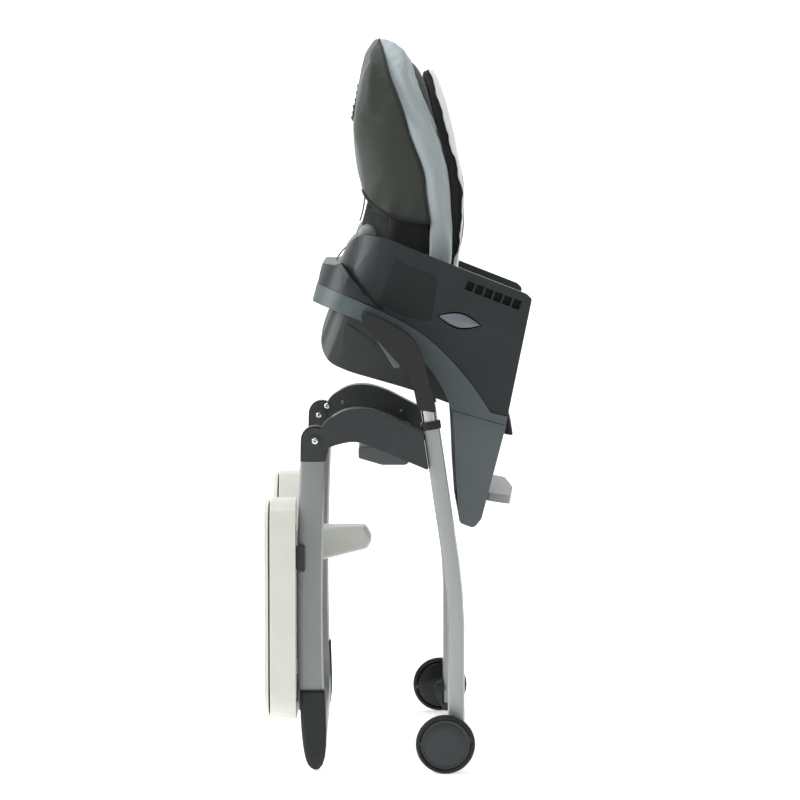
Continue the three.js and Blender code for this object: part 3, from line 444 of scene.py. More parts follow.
# ---------- hinge arms, knuckles and their screws ----------
# Curved charcoal nylon arms run back from the front legs, each a pair of cheeks round the rear leg's
# knuckle. A plated hub screw holds the joint; smaller screws and flush rivets close the inner cheek.
arm_dark = moulded_plastic("hinge_arm_nylon", (0.034, 0.038, 0.040), 0.42)
for side, _ in SIDES:
    moulded(f"hinge_arm_{side}", arm_dark, 2.2 * mm)
    moulded(f"rear_knuckle_{side}", arm_dark, 1.6 * mm)
    moulded(f"hub_pin_{side}", arm_dark, 0.8 * mm)

studs = Pattern("screw_heads", Head="Object", Size="Float")
along = studs.node("GeometryNodeInputNamedAttribute", {"data_type": "FLOAT_VECTOR"}, Name="facing")
head = studs.node("GeometryNodeObjectInfo", out="Geometry", Object=studs.given("Head"))
turn = studs.node("FunctionNodeAlignRotationToVector", {"axis": "Y"}, Vector=along)
size = studs.given("Size")
scale = studs.node("ShaderNodeCombineXYZ", X=size, Y=size, Z=size)
studs.close(studs.node("GeometryNodeInstanceOnPoints", Points=studs.given("Geometry"), Instance=head,
                       Rotation=turn, Scale=scale))


def heads(name, shape, places, size, finish, body, slot):
    """Screw or rivet heads on a body: places are (point, facing) pairs."""
    base = bpy.data.meshes.new(name)
    base.from_pydata([place for place, _ in places], [], [])
    facing_values = base.attributes.new("facing", "FLOAT_VECTOR", "POINT")
    for entry, (_, direction) in zip(facing_values.data, places):
        entry.vector = direction
    piece = studs.grow(name, finish, base, Head=shape, Size=size)
    return fitted(piece, finish, body, slot)


SCREW_HEAD = [(0, 0.15), (0.32, 0.15), (0.36, 0.5), (0.5, 0.55), (0.8, 0.42), (0.97, 0.2), (1, -0.3),
              (0, -0.3)]
RIVET_HEAD = [(0, 0.3), (0.5, 0.27), (0.85, 0.16), (1, 0), (1, -0.3), (0, -0.3)]
screw_shape = turned("screw_shape", [(r / mm, a / mm) for r, a in SCREW_HEAD], Vector(), 1, 20)
rivet_shape = turned("rivet_shape", [(r / mm, a / mm) for r, a in RIVET_HEAD], Vector(), 1, 16)
rivet_grey = moulded_plastic("rivet_grey", (0.10, 0.105, 0.105), 0.35)
INNER_SCREWS = [(-116.7, 517.3), (-130.0, 502.3)]
INNER_RIVETS = [(-90.2, 523.9), (7.3, 508.9)]
CHEEK_DEPTH = 2.1
for side, out in SIDES:
    pin_low, pin_high = corners_of(f"hub_pin_{side}")
    pin = (pin_low + pin_high) / 2
    outside = Vector((pin.x, pin_high.y if out > 0 else pin_low.y, pin.z))
    inside_y = (pin_low.y if out > 0 else pin_high.y) + out * CHEEK_DEPTH * mm
    cheek, dots = ([(Vector((x * mm, inside_y, z * mm)), (0, -out, 0)) for x, z in places]
                   for places in (INNER_SCREWS, INNER_RIVETS))
    heads(f"hub_screws_{side}", screw_shape, [(outside, (0, out, 0)), *cheek], 5.2 * mm, bright_steel,
          "front_frame", "steel")
    heads(f"arm_rivets_{side}", rivet_shape, dots, 3.6 * mm, rivet_grey, "front_frame", "charcoal_plastic")
for shape in (screw_shape, rivet_shape):
    bpy.data.objects.remove(shape)


# ---------- crossbar and fold handle ----------
# A grey polypropylene channel joins the two arms. The fold handle is a lip of the same plastic that
# lifts out of the channel's rear edge to release the hubs.
bar_grey = moulded_plastic("bar_polypropylene", (0.092, 0.105, 0.108), 0.42)
moulded("crossbar", bar_grey, 1.5 * mm)
moulded("fold_handle", bar_grey, 1.5 * mm)


# ---------- boots ----------
# Charcoal boots pushed over the foot of each rear leg: flat outside, round at the edges, bullet-shaped at
# the toe.
def bent(corners, closed=False, steps=6):
    """A line through (x, y, radius) corners, each of them rounded."""
    count = len(corners)
    line = [] if closed else [Vector(corners[0][:2])]
    for k in range(0 if closed else 1, count if closed else count - 1):
        at = Vector(corners[k][:2])
        radius = corners[k][2]
        one = Vector(corners[k - 1][:2]) - at
        two = Vector(corners[(k + 1) % count][:2]) - at
        limit = 0.49 * min(one.length, two.length)
        reach = min(radius / math.tan(one.angle(two) / 2), limit) if radius else 0
        start, end = at + one.normalized() * reach, at + two.normalized() * reach
        for step in range(steps + 1):
            t = step / steps
            line.append(start * (1 - t) ** 2 + at * 2 * t * (1 - t) + end * t * t)
    line.append(line[0] if closed else Vector(corners[-1][:2]))
    return line


def evenly(line, count):
    """The same line with its points evenly spaced."""
    lengths = [0.0]
    for one, two in zip(line, line[1:]):
        lengths.append(lengths[-1] + (two - one).length)
    result, j = [], 0
    for k in range(count):
        target = lengths[-1] * k / (count - 1)
        while j < len(line) - 2 and lengths[j + 1] < target:
            j += 1
        span = lengths[j + 1] - lengths[j] or 1
        result.append(line[j].lerp(line[j + 1], min(1, (target - lengths[j]) / span)))
    return result


def spline(points, count):
    """Evenly spaced points along a smooth line through the given ones."""
    knots = [Vector(point) for point in points]
    line = []
    for k in range(len(knots) - 1):
        a, b, c, d = knots[max(k - 1, 0)], knots[k], knots[k + 1], knots[min(k + 2, len(knots) - 1)]
        for step in range(10):
            t = step / 10
            line.append(0.5 * (2 * b + (c - a) * t + (2 * a - 5 * b + 4 * c - d) * t * t
                               + (3 * b - a - 3 * c + d) * t ** 3))
    return evenly(line + [knots[-1]], count)


def skin(name, rings, ends=4):
    """A closed surface over rings of one count; shrinking rings and a middle point close each end."""
    def closing(ring):
        centre = sum(ring, Vector((0, 0, 0))) / len(ring)
        return [[point.lerp(centre, k / (ends + 1)) for point in ring] for k in range(1, ends + 1)], centre
    first, first_centre = closing(rings[0])
    last, last_centre = closing(rings[-1])
    every = [*reversed(first), *rings, *last]
    count = len(rings[0])
    verts = [point for ring in every for point in ring] + [first_centre, last_centre]
    faces = []
    for r in range(len(every) - 1):
        for k in range(count):
            n = (k + 1) % count
            faces.append((r * count + k, r * count + n, (r + 1) * count + n, (r + 1) * count + k))
    top = (len(every) - 1) * count
    for k in range(count):
        n = (k + 1) % count
        faces += [(n, k, len(verts) - 2), (top + k, top + n, len(verts) - 1)]
    return open_mesh(name, verts, faces)


BOOT_BACK = [(2, -4), (8, -11), (20, -16), (39, -19.5), (64, -22), (95, -23.5), (124, -24)]
BOOT_FRONT = [(2, 4), (8, 10), (20, 14), (39, 16), (64, 16.3), (95, 15.5), (124, 14.5)]
boot_grey = moulded_plastic("boot_polypropylene", (0.0143, 0.0164, 0.0172), 0.48)
BOOT_X = corners_of("foot_cap_left")[0].x + 24 * mm
for side, out in SIDES:
    rings = []
    for point in spline(BOOT_BACK, 26):
        z = point.x
        front = next(f0 + (f1 - f0) * (z - z0) / (z1 - z0)
                     for (z0, f0), (z1, f1) in zip(BOOT_FRONT, BOOT_FRONT[1:]) if z <= z1 + 1e-6)
        swell = min(1, math.sqrt(max(z, 0) / 22))
        inside, outside = 246 + 4 * (1 - swell), 256 + 8.5 * swell
        plan = [(point.y, inside, 1), (front, inside, 1),
                (front, outside, 7 * swell), (point.y, outside, 7 * swell)]
        loop = evenly(bent(plan, closed=True), 41)[:-1]
        rings.append([Vector((BOOT_X + p.x * mm, out * p.y * mm, z * mm)) for p in loop])
    fitted(skin(f"boot_{side}", rings, 3), boot_grey, "rear_frame", "charcoal_plastic", f"foot_cap_{side}")
    moulded(f"tray_peg_{side}", charcoal, 1.4 * mm)


# ---------- seat brackets, height levers, band and pan ----------
# Warm grey nylon brackets clamp the inner tubes and carry the seat. A squeeze lever pivots in each. The
# lighter band wraps the booster seat, and the deep pan closes it underneath.
bracket_grey = moulded_plastic("bracket_nylon", (0.02, 0.0205, 0.0205), 0.42)
lever_grey = moulded_plastic("lever_plastic", (0.11, 0.123, 0.123), 0.45)
band_grey = moulded_plastic("band_polypropylene", (0.0875, 0.109, 0.112), 0.38)
pan_grey = moulded_plastic("pan_polypropylene", (0.0467, 0.0544, 0.0527), 0.36)
for side, _ in SIDES:
    moulded(f"seat_bracket_{side}", bracket_grey, 4 * mm)
    moulded(f"height_lever_{side}", lever_grey, 1 * mm)
moulded("seat_band", band_grey, 2.2 * mm)
moulded("seat_pan", pan_grey, 6 * mm)

hinge = Vector(next(joint["pos_m"] for joint in frame["joints"] if joint["name"] == "back_recline"))
NOSE_DOWN = math.radians(21)
FORWARD = Vector((math.cos(NOSE_DOWN), 0, -math.sin(NOSE_DOWN)))
UPWARD = Vector((math.sin(NOSE_DOWN), 0, math.cos(NOSE_DOWN)))
HINGE_IN_SEAT = (-262, -4)


def seat(u, w, y=0.0):
    """A point of the tilted seat, in millimetres forward, up and to the left, as a place in the frame."""
    across = Vector((0, y * mm, 0))
    return hinge + FORWARD * (u - HINGE_IN_SEAT[0]) * mm + UPWARD * (w - HINGE_IN_SEAT[1]) * mm + across


def plaque(name, outline, edge_y, out, sink, rise, rings=6):
    """A raised or domed plate on a side face: outline is (u, w) points, rise is the height of its middle."""
    middle = sum(outline, Vector((0, 0))) / len(outline)
    loops = [[seat(point.x, point.y, out * (edge_y - sink)) for point in outline]]
    for k in range(rings + 1):
        share = k / (rings + 1)
        height = rise * (1 - (1 - share) ** 2.2)
        loops.append([seat(*point.lerp(middle, share), out * (edge_y + height)) for point in outline])
    return skin(name, loops, 2)


# ---------- calf support and footrest ----------
# The grey calf shell hangs from the band in front of the legs. A pale footrest board slides in the slot
# in its front face.
calf_grey = moulded_plastic("calf_polypropylene", (0.106, 0.124, 0.131), 0.42)
footrest_pale = moulded_plastic("footrest_plastic", (0.293, 0.308, 0.301), 0.4)
moulded("calf_support", calf_grey, 3 * mm)
moulded("footrest", footrest_pale, 3.5 * mm)

# ---------- booster tub ----------
# The slate tub of the booster seat: armrests, a rounded back with a lip on the band, and a shallow panel
# in each side, painted darker as shade. Six pockets in each armrest, painted near black as shadow, take the
# tray's latch, and a domed button releases it.
LATCH = {"u": (-93.4, -4.2), "w": (-27.4, -12.6), "y": (199, 204.9)}
RECESS = {"u": (-252, -118), "w": (-101, -20), "y": (203.4, 204.4)}
BUTTON_WELL = {"u": (-120, -46), "w": (-94, -55), "y": (190, 204.8)}


def tub_plastic():
    """Satin slate; the side recess is duller and painted darker as shade, and painted shadow makes the pockets and
    the button well near black.
    """
    finish = Finish("tub_polypropylene_painted_shade", Specular_IOR_Level=0.32)
    x, y, z = finish.axes()
    ahead, above = math.cos(NOSE_DOWN), math.sin(NOSE_DOWN)
    seat_place = {
        "u": (x - hinge.x) * ahead - (z - hinge.z) * above + HINGE_IN_SEAT[0] * mm,
        "w": (x - hinge.x) * above + (z - hinge.z) * ahead + HINGE_IN_SEAT[1] * mm,
        "y": finish.node("ShaderNodeMath", {"operation": "ABSOLUTE"}, y),
    }

    def within(limits):
        inside = 1.0
        for axis, (least, most) in limits.items():
            inside = inside * (seat_place[axis] > least * mm) * (most * mm - seat_place[axis] > 0.0)
        return inside

    cloud = finish.noise(14, 4, 0.6)
    slate = (0.024, 0.029, 0.031)
    plain = finish.mix(cloud, shade(slate, 0.88), shade(slate, 1.12))
    # Painted shade: the side recess gets a darker slate.
    recess_painted_shade = finish.mix(within(RECESS), plain, shade(slate, 0.55))
    # Painted shadow: the latch pockets and the button well get a near-black slate.
    pocket_painted_shadow = finish.mix(within(LATCH) + within(BUTTON_WELL), recess_painted_shade, shade(slate, 0.04))
    gloss = 0.3 + 0.14 * cloud + 0.1 * within(RECESS) + 0.4 * within(LATCH)
    return finish.feed(Base_Color=pocket_painted_shadow, Roughness=gloss,
                       Normal=finish.bump(finish.noise(1100, 2), 0.00016, 0.6))


button_grey = moulded_plastic("button_plastic", (0.17, 0.19, 0.21), 0.34, 0.3)
moulded("booster_tub", tub_plastic(), 1.8 * mm)
TUB_HALF = 205
BUTTON = {"u": -83, "w": -74.5, "long": 64.5, "tall": 20.5, "turn": math.radians(8)}
for side, out in SIDES:
    lens = []
    for turn_sign in (1, -1):
        for k in range(16):
            t = k / 16
            a = turn_sign * BUTTON["long"] / 2 * (1 - 2 * t)
            b = turn_sign * BUTTON["tall"] / 2 * math.sin(math.pi * t)
            c, s = math.cos(BUTTON["turn"]), math.sin(BUTTON["turn"])
            lens.append(Vector((BUTTON["u"] + a * c - b * s, BUTTON["w"] + a * s + b * c)))
    button = plaque(f"release_button_{side}", lens, TUB_HALF - 0.4, out, 5, 3.2)
    fitted(button, button_grey, f"booster_button_{side}", "pale_grey", f"booster_button_{side}")


# ---------- backrest shell ----------
# A warm grey moulded shell that turns on a barrel hinge at the tub's back rim, with a domed knob at each
# end, painted lighter as a highlight. It narrows above the hinge to fit inside the cover.
shell_grey = moulded_plastic("backrest_shell_plastic", (0.078, 0.087, 0.078), 0.4)
shell = copy_of("back_shell", "back_shell_moulding")
SHELL = {"half": 138, "narrowing": 36, "from": 30, "over": 40}
for vertex in shell.data.vertices:
    height = (vertex.co - hinge).dot(UPWARD) / mm + HINGE_IN_SEAT[1]
    share = max(0, min(1, (height - SHELL["from"]) / SHELL["over"]))
    limit = (SHELL["half"] - SHELL["narrowing"] * share) * mm
    vertex.co.y = max(-limit, min(limit, vertex.co.y))
fitted(edged(shell, 2 * mm), shell_grey, "backrest", "warm_grey", "back_shell")
KNOB = [(0, 6.5), (4, 6.2), (8, 5), (11.5, 2.6), (14, -1), (15.4, -6), (15.7, -12), (15.7, -20), (0, -20)]
# The knobs take the shell's warm grey made about three times lighter: a painted highlight.
knob_painted_highlight = moulded_plastic("hinge_knob_painted_highlight", (0.26, 0.286, 0.26), 0.36)
for side, out in SIDES:
    knob_base = hinge + Vector((0, out * (SHELL["half"] + 1) * mm, 0))
    fitted(turned(f"hinge_knob_{side}", KNOB, knob_base, out, 48), knob_painted_highlight, "backrest", "warm_grey")


# ---------- backrest cover ----------
# An olive-charcoal coated cloth sock over the shell, piped in black where it joins the bolster, and bound
# along its dipping hem.
def woven(name, colour, roughness=0.8, pitch=0.9 * mm, depth=0.00018, sheen=0.25, spread=0.18):
    finish = Finish(name, Sheen_Weight=sheen, Sheen_Roughness=0.5, Specular_IOR_Level=0.3)
    x, y, z = finish.axes()
    turns = 2 * math.pi / pitch
    weft = finish.node("ShaderNodeMath", {"operation": "SINE"}, (y + x) * turns)
    warp = finish.node("ShaderNodeMath", {"operation": "SINE"}, z * turns)
    cloud = finish.noise(18, 4, 0.6)
    weave = weft * warp
    blend = cloud * 0.7 + weave * 0.12
    return finish.feed(
        Base_Color=finish.mix(blend, shade(colour, 1 - spread), shade(colour, 1 + spread)),
        Roughness=roughness - 0.05 + 0.1 * cloud,
        Normal=finish.bump(weave * 0.5 + finish.noise(700, 2) * 0.3, depth, 0.6),
    )


def half_width(t, full, top, start=0.62):
    """Half the width of a back piece at share t of its height: straight, then rounded in at the top."""
    return full - (full - top) * max(0, (t - start) / (1 - start)) ** 2.4


def section(back, front, runs):
    """One loop round a pad. Each run is (corners, count): depth as a share, half width and radius."""
    depth = (front - back).length
    towards = (front - back).normalized() if depth > 1e-6 else Vector((1, 0))
    half = []
    for corners, count in runs:
        line = evenly(bent([(share * depth, y, radius) for share, y, radius in corners]), count)
        half += line if not half else line[1:]
    mirrored = [Vector((point.x, -point.y)) for point in reversed(half[1:-1])]
    return [seat(*(back + towards * point.x), point.y) for point in half + mirrored]


def swollen(piece, held, cap, pressure=4.0, frames=20):
    """Fills a sewn shape: its cloth swells under pressure, held along the seams, and moves cap at most."""
    start = [vertex.co.copy() for vertex in piece.data.vertices]
    seams = piece.vertex_groups.new(name="seams")
    seams.add(sorted(held), 1.0, "REPLACE")
    cloth = piece.modifiers.new("filling", "CLOTH")
    cloth.settings.use_pressure = True
    cloth.settings.uniform_pressure_force = pressure
    cloth.settings.vertex_group_mass = "seams"
    cloth.settings.effector_weights.gravity = 0
    cloth.settings.quality = 4
    cloth.settings.bending_stiffness = 0.8
    cloth.collision_settings.use_collision = False
    cloth.collision_settings.use_self_collision = False
    cloth.point_cache.frame_start, cloth.point_cache.frame_end = 1, frames
    for step in range(1, frames + 1):
        scene.frame_set(step)
    evaluated = piece.evaluated_get(bpy.context.evaluated_depsgraph_get())
    finish_line = [vertex.co.copy() for vertex in evaluated.data.vertices]
    piece.modifiers.remove(cloth)
    piece.vertex_groups.clear()
    for vertex, one, two in zip(piece.data.vertices, start, finish_line):
        move = two - one
        vertex.co = one + move * min(1, cap / max(move.length, 1e-9))
    scene.frame_set(1)
    return piece


def nudge(piece, held, height):
    """Moves each free point along its normal by height(point), in metres: folds, gathers and creases."""
    moves = [vertex.normal * height(vertex.co) for vertex in piece.data.vertices]
    for vertex, move in zip(piece.data.vertices, moves):
        if vertex.index not in held:
            vertex.co += move
    return piece


def smoothed(piece, levels=1):
    subdivision = piece.modifiers.new("smooth", "SUBSURF")
    subdivision.levels = subdivision.render_levels = levels
    return piece


def cushioned(piece, cloth, body, slot, *nodes, fill):
    return fitted(smoothed(piece), cloth, body, slot, *nodes)


def cord_along(name, path, radius, finish, body, slot, flat=1.0, wave=0.0):
    """A round or flattened edging laid along a line of points."""
    rings = []
    count = len(path)
    for k, point in enumerate(path):
        along = (path[min(k + 1, count - 1)] - path[max(k - 1, 0)]).normalized()
        side_way = along.cross(Vector((0, 0, 1)) if abs(along.z) < 0.9 else Vector((1, 0, 0))).normalized()
        other = along.cross(side_way)
        size = radius * (1 + wave * noise.noise(point * 260))
        rings.append([point + (side_way * math.cos(a) + other * math.sin(a) * flat) * size
                      for a in (math.pi / 5 * j for j in range(10))])
    return fitted(skin(name, rings, 1), finish, body, slot)


def sewn(rings, seam, ends, still):
    """The vertices held while a skin swells: its first rows, and the seam down each of its sides."""
    count = len(rings[0])
    held = set(range(still * count))
    for r in range(len(rings)):
        row = (ends + r) * count
        held |= {row + seam, row + count - seam}
    return held


def seam_round(rings, seam, steps):
    """A line up one side seam, across the top and down the other."""
    near = [ring[seam] for ring in rings]
    far = [ring[len(ring) - seam] for ring in rings]
    top = [near[-1].lerp(far[-1], k / steps) for k in range(1, steps)]
    return [*near, *top, *reversed(far)]


COVER = {"rings": 78, "half": 151, "top_half": 96, "chamfer": 17, "side_points": 44, "ends": 5,
         "hem_rows": 10, "hem_dip": 17}
PIPED_EDGE = [(-178, 47), (-199, 84), (-216, 115.5), (-255, 160), (-281, 195), (-316, 234), (-336, 262),
              (-351, 283)]
COVER_BACK = [(-291, 56), (-303, 82), (-319, 109), (-335, 136), (-343.5, 163), (-347.5, 188), (-352, 214),
              (-355.5, 240), (-358, 264), (-356, 283)]
olive_cloth = woven("olive_coated_cloth", (0.0322, 0.0409, 0.0329), 0.5, spread=0.12)
black_cloth = woven("black_cloth", (0.012, 0.013, 0.012), 0.8)
edge_binding = woven("edge_binding", (0.010, 0.011, 0.010), 0.7, pitch=0.6 * mm)
piped = spline(PIPED_EDGE, COVER["rings"])
behind = spline(COVER_BACK, COVER["rings"])
rings = []
for k, (front, back) in enumerate(zip(piped, behind)):
    t = k / (COVER["rings"] - 1)
    half = half_width(t, COVER["half"], COVER["top_half"])
    fold = 0.43 * (1 - t) + 0.12 * t
    taper = COVER["chamfer"] * (1 - 0.6 * t)
    side_run = ([(0, 0, 0), (0, half - taper, 22), (fold, half, 12), (1, half, 0)], COVER["side_points"])
    rings.append(section(back, front, [side_run, ([(1, half, 0), (1, 0, 0)], 20)]))
for r in range(COVER["hem_rows"]):
    sink = (1 - r / COVER["hem_rows"]) ** 1.5
    start, way = seat(*behind[r]), seat(*piped[r]) - seat(*behind[r])
    for k, point in enumerate(rings[r]):
        share = max(0, min(1, (point - start).dot(way.normalized()) / way.length))
        rings[r][k] = point - UPWARD * COVER["hem_dip"] * mm * sink * math.sin(math.pi * share ** 0.8)
cover = skin("backrest_cover", rings, COVER["ends"])
cover_seam = COVER["side_points"] - 1
cover_held = sewn(rings, cover_seam, COVER["ends"], COVER["ends"] + 1)


def cover_folds(point):
    """Soft folds: drag lines from the crown, shallow ripples near the hem, and slow unevenness."""
    local = point - hinge
    up, ahead = local.dot(UPWARD) / mm, local.dot(FORWARD) / mm
    drag = 0.9 * math.sin(ahead * 0.11 + up * 0.03) * max(0, (up - 170) / 110)
    hem = 1.2 * math.sin(ahead * 0.2 + point.y * 60) * max(0, 1 - (up - 45) / 45)
    return (drag + hem + 1.4 * noise.noise(point * 16)) * mm


nudge(swollen(cover, cover_held, 6 * mm), cover_held, cover_folds)
cushioned(cover, olive_cloth, "backrest", "olive_fabric", "back_cover", fill=0.35)

cord_along("cover_hem", [*rings[0], rings[0][0]], 2.0 * mm, edge_binding, "backrest", "olive_fabric",
           flat=1.3, wave=0.5)
cord_along("cover_piping", seam_round(rings, cover_seam, 24), 1.3 * mm, edge_binding, "backrest",
           "olive_fabric", wave=0.25)

# ---------- elasticated opening ----------
# The back of the cover has a wide opening with a gathered elastic edge, and black lining behind it.
OPENING = {"low": 154, "high": 204, "half": 108, "gathers": 46}
across, low, high = OPENING["half"], OPENING["low"], OPENING["high"]
corners = [(x, w, 22) for x, w in ((-across, low), (across, low), (across, high), (-across, high))]
loop = evenly(bent(corners, closed=True), 141)[:-1]


def back_line(w):
    for one, two in zip(COVER_BACK, COVER_BACK[1:]):
        if w <= two[1]:
            return one[0] + (two[0] - one[0]) * (w - one[1]) / (two[1] - one[1])
    return COVER_BACK[-1][0]


edge_path = []
for k, point in enumerate(loop):
    ruffle = math.sin(2 * math.pi * OPENING["gathers"] * k / len(loop))
    edge_path.append(seat(back_line(point.y) - 3.2 - 1.1 * ruffle, point.y + 1.2 * ruffle, point.x))
cord_along("opening_elastic", [*edge_path, edge_path[0]], 3.0 * mm, edge_binding, "backrest", "olive_fabric",
           wave=0.7)
middle = (low + high) / 2
lining_rings = [[seat(back_line(p.y) - depth, middle + (p.y - middle) * share, p.x * share) for p in loop]
                for share, depth in ((1.0, 1.0), (0.97, 4.0))]
fitted(skin("opening_lining", lining_rings, 8), black_cloth, "backrest", "black_fabric")

# ---------- bolster pad ----------
# The padded back cushion: a light blue-grey bolster round its edge, gathered at the crown, with a raised
# charcoal panel down the middle of its front.
blue_cloth = woven("blue_grey_cloth", (0.39, 0.448, 0.461), 0.75, spread=0.08)
panel_cloth = woven("charcoal_cloth", (0.09, 0.0954, 0.0936), 0.75)
BOLSTER = {"rings": 92, "half": 149, "top_half": 97, "back_points": 20, "ends": 4}
BOLSTER_FRONT = [(-105, -110), (-113, -60), (-126, -4), (-130, 18), (-153, 64), (-178, 117), (-198, 155),
                 (-223, 185), (-253, 213), (-282, 246), (-299, 270), (-311, 281), (-326, 287),
                 (-341, 288), (-351, 284)]
BOLSTER_BACK = [(-139, -110), (-151, -30), (-170, 30), (-178, 50), (-198, 85), (-215, 117), (-254, 161),
                (-280, 196), (-315, 235), (-335, 263), (-351, 283)]
fronts = spline(BOLSTER_FRONT, BOLSTER["rings"])
backs = spline(BOLSTER_BACK, BOLSTER["rings"])
rings = []
for k, (front, back) in enumerate(zip(fronts, backs)):
    t = k / (BOLSTER["rings"] - 1)
    half = half_width(t, BOLSTER["half"], BOLSTER["top_half"], 0.72)
    depth = max(0.5, (front - back).length)
    flat_back = [(0, 0, 0), (0, half, 0)]
    round_front = [(0, half, 0), (0.5, half + 1.5, depth * 0.4), (1, half - 3, depth * 0.45),
                   (1, half * 0.8, 60), (1, 0, 0)]
    rings.append(section(back, front, [(flat_back, BOLSTER["back_points"]), (round_front, 44)]))
bolster = skin("backrest_bolster", rings, BOLSTER["ends"])
held = sewn(rings, BOLSTER["back_points"] - 1, BOLSTER["ends"], BOLSTER["ends"] + 2)


def gathers(point):
    """Fine gathers that fan from the crown of the bolster, and a few soft dimples lower down."""
    local = point - hinge
    up, ahead = local.dot(UPWARD) / mm, local.dot(FORWARD) / mm
    near_crown = max(0, min(1, (up - 205) / 70))
    fan = math.atan2(up - 150, ahead + 150)
    return (0.8 * near_crown * math.sin(fan * 62 + point.y * 40) + 1.3 * noise.noise(point * 22)) * mm


nudge(swollen(bolster, held, 5 * mm), held, gathers)
cushioned(bolster, blue_cloth, "backrest", "blue_grey_fabric", "back_pad", fill=0.75)

PANEL_FRONT = [(-176, 124), (-192, 152), (-222, 191), (-249, 230), (-269, 253.5), (-285, 265.5), (-297, 269.5)]
PANEL_BACK = [(-180, 118), (-204, 152), (-229, 182), (-255, 208), (-278, 232), (-294, 252), (-302, 264)]
rings = []
for k, (front, back) in enumerate(zip(spline(PANEL_FRONT, 36), spline(PANEL_BACK, 36))):
    half = half_width(k / 35, 122, 78, 0.5)
    depth = max(0.5, (front - back).length)
    rings.append(section(back, front, [([(0, 0, 0), (0, half, 0)], 18),
                                       ([(0, half, 0), (1, half - 2, depth * 0.5), (1, 0, 0)], 26)]))
panel = skin("bolster_front_panel", rings, 3)
cushioned(panel, panel_cloth, "backrest", "black_fabric", fill=0.6)

# The lining of the pad hangs below the cover's hem and tucks down behind the tub's rim.
rings = []
TAIL_BACK = [(-240, 42), (-231, 6), (-226, -16)]
TAIL_FRONT = [(-180, 47), (-164, 8), (-158, -14)]
for back, front in zip(spline(TAIL_BACK, 20), spline(TAIL_FRONT, 20)):
    rings.append(section(back, front, [([(0, 0, 0), (0, 144, 10), (1, 145, 8), (1, 0, 0)], 40)]))
tail = nudge(skin("pad_lining_tail", rings, 4), set(), lambda point: 0.8 * mm * noise.noise(point * 24))
cushioned(tail, black_cloth, "backrest", "black_fabric", fill=0.3)

# ---------- infant insert ----------
# A soft liner that hangs on the pad: black cloth sides and back, and a white padded front whose edge
# waves where the two are sewn together.
white_cloth = woven("white_padded_cloth", (0.888, 0.9, 0.912), 0.8, spread=0.05)
INSERT = {"rings": 90, "half": 121, "top_half": 84, "back_points": 20, "ends": 4, "quilt": 18}
INSERT_BACK = [(-102, -110), (-110, -60), (-125, 4), (-150, 64), (-174, 117), (-190, 151), (-220, 192),
               (-247, 231), (-266, 254), (-268, 262)]
INSERT_MIDDLE = [(-97, -110), (-106, -60), (-120, 0), (-122, 29), (-134, 71), (-147, 109), (-158, 124),
                 (-175, 151), (-190, 168), (-213, 202), (-236, 232), (-251, 253), (-262, 266)]
INSERT_FRONT = [(-90, -110), (-98, -60), (-113, 2), (-116, 15), (-127, 57), (-136, 86), (-144, 110), (-163, 142),
                (-185, 179), (-208, 213), (-229, 241), (-249, 263), (-259, 270)]


def liner(name, back_points, front_points, widen, waves, dish, finish, slot, fill):
    """One layer of the insert: dish is how far its middle sinks, and waves how far its back edge ripples."""
    rings = []
    stations = zip(spline(back_points, INSERT["rings"]), spline(front_points, INSERT["rings"]))
    for k, (back, front) in enumerate(stations):
        t = k / (INSERT["rings"] - 1)
        ripple = waves * (math.sin(t * 61) + 0.6 * math.sin(t * 143 + 1.3))
        half = half_width(t, INSERT["half"], INSERT["top_half"], 0.8) + widen
        way = (front - back).normalized()
        depth = max(0.5, (front - back).length)
        back = back + way * ripple
        dished = [(0, half, 0), (0.6, half + 0.5, depth * 0.3), (1, half - 3, depth * 0.5),
                  (1, half * 0.76, 30), (1 - dish, half * 0.62, 30), (1 - dish, 0, 0)]
        rings.append(section(back, front, [([(0, 0, 0), (0, half, 0)], INSERT["back_points"]), (dished, 38)]))
    piece = skin(name, rings, INSERT["ends"])
    count = len(rings[0])
    held = sewn(rings, INSERT["back_points"] - 1, INSERT["ends"], INSERT["ends"] + 1)
    for r in range(INSERT["quilt"] // 2, INSERT["rings"], INSERT["quilt"]):
        held |= set(range((INSERT["ends"] + r) * count, (INSERT["ends"] + r + 1) * count))
    swollen(piece, held, 4 * mm)
    nudge(piece, held, lambda point: 1.1 * mm * noise.noise(point * 30))
    cushioned(piece, finish, "backrest", slot, "infant_insert", fill=fill)
    return piece, rings


liner("insert_sides", INSERT_BACK, INSERT_MIDDLE, 0, 0.0, 0.0, black_cloth, "black_fabric", 0.5)
white_part, white_rings = liner("insert_front", [(u - 1, w) for u, w in INSERT_MIDDLE], INSERT_FRONT, 1.0, 0.8,
                                0.6, white_cloth, "white_fabric", 0.6)
cord_along("insert_seam", seam_round(white_rings, INSERT["back_points"] - 1, 20), 0.9 * mm, edge_binding,
           "backrest", "black_fabric", wave=0.4)

# ---------- harness ----------
# Black woven webbing: two stitched shoulder straps down the insert, a strap behind the shell and its loose
# tail, and a crotch strap with a black plastic buckle.
webbing = woven("harness_webbing", (0.014, 0.014, 0.014), 0.7, pitch=1.6 * mm, depth=0.0003)
thread = moulded_plastic("grey_thread", (0.09, 0.09, 0.09), 0.7)
buckle_black = moulded_plastic("buckle_plastic", (0.014, 0.014, 0.015), 0.35)
surface = BVHTree.FromObject(white_part, bpy.context.evaluated_depsgraph_get())

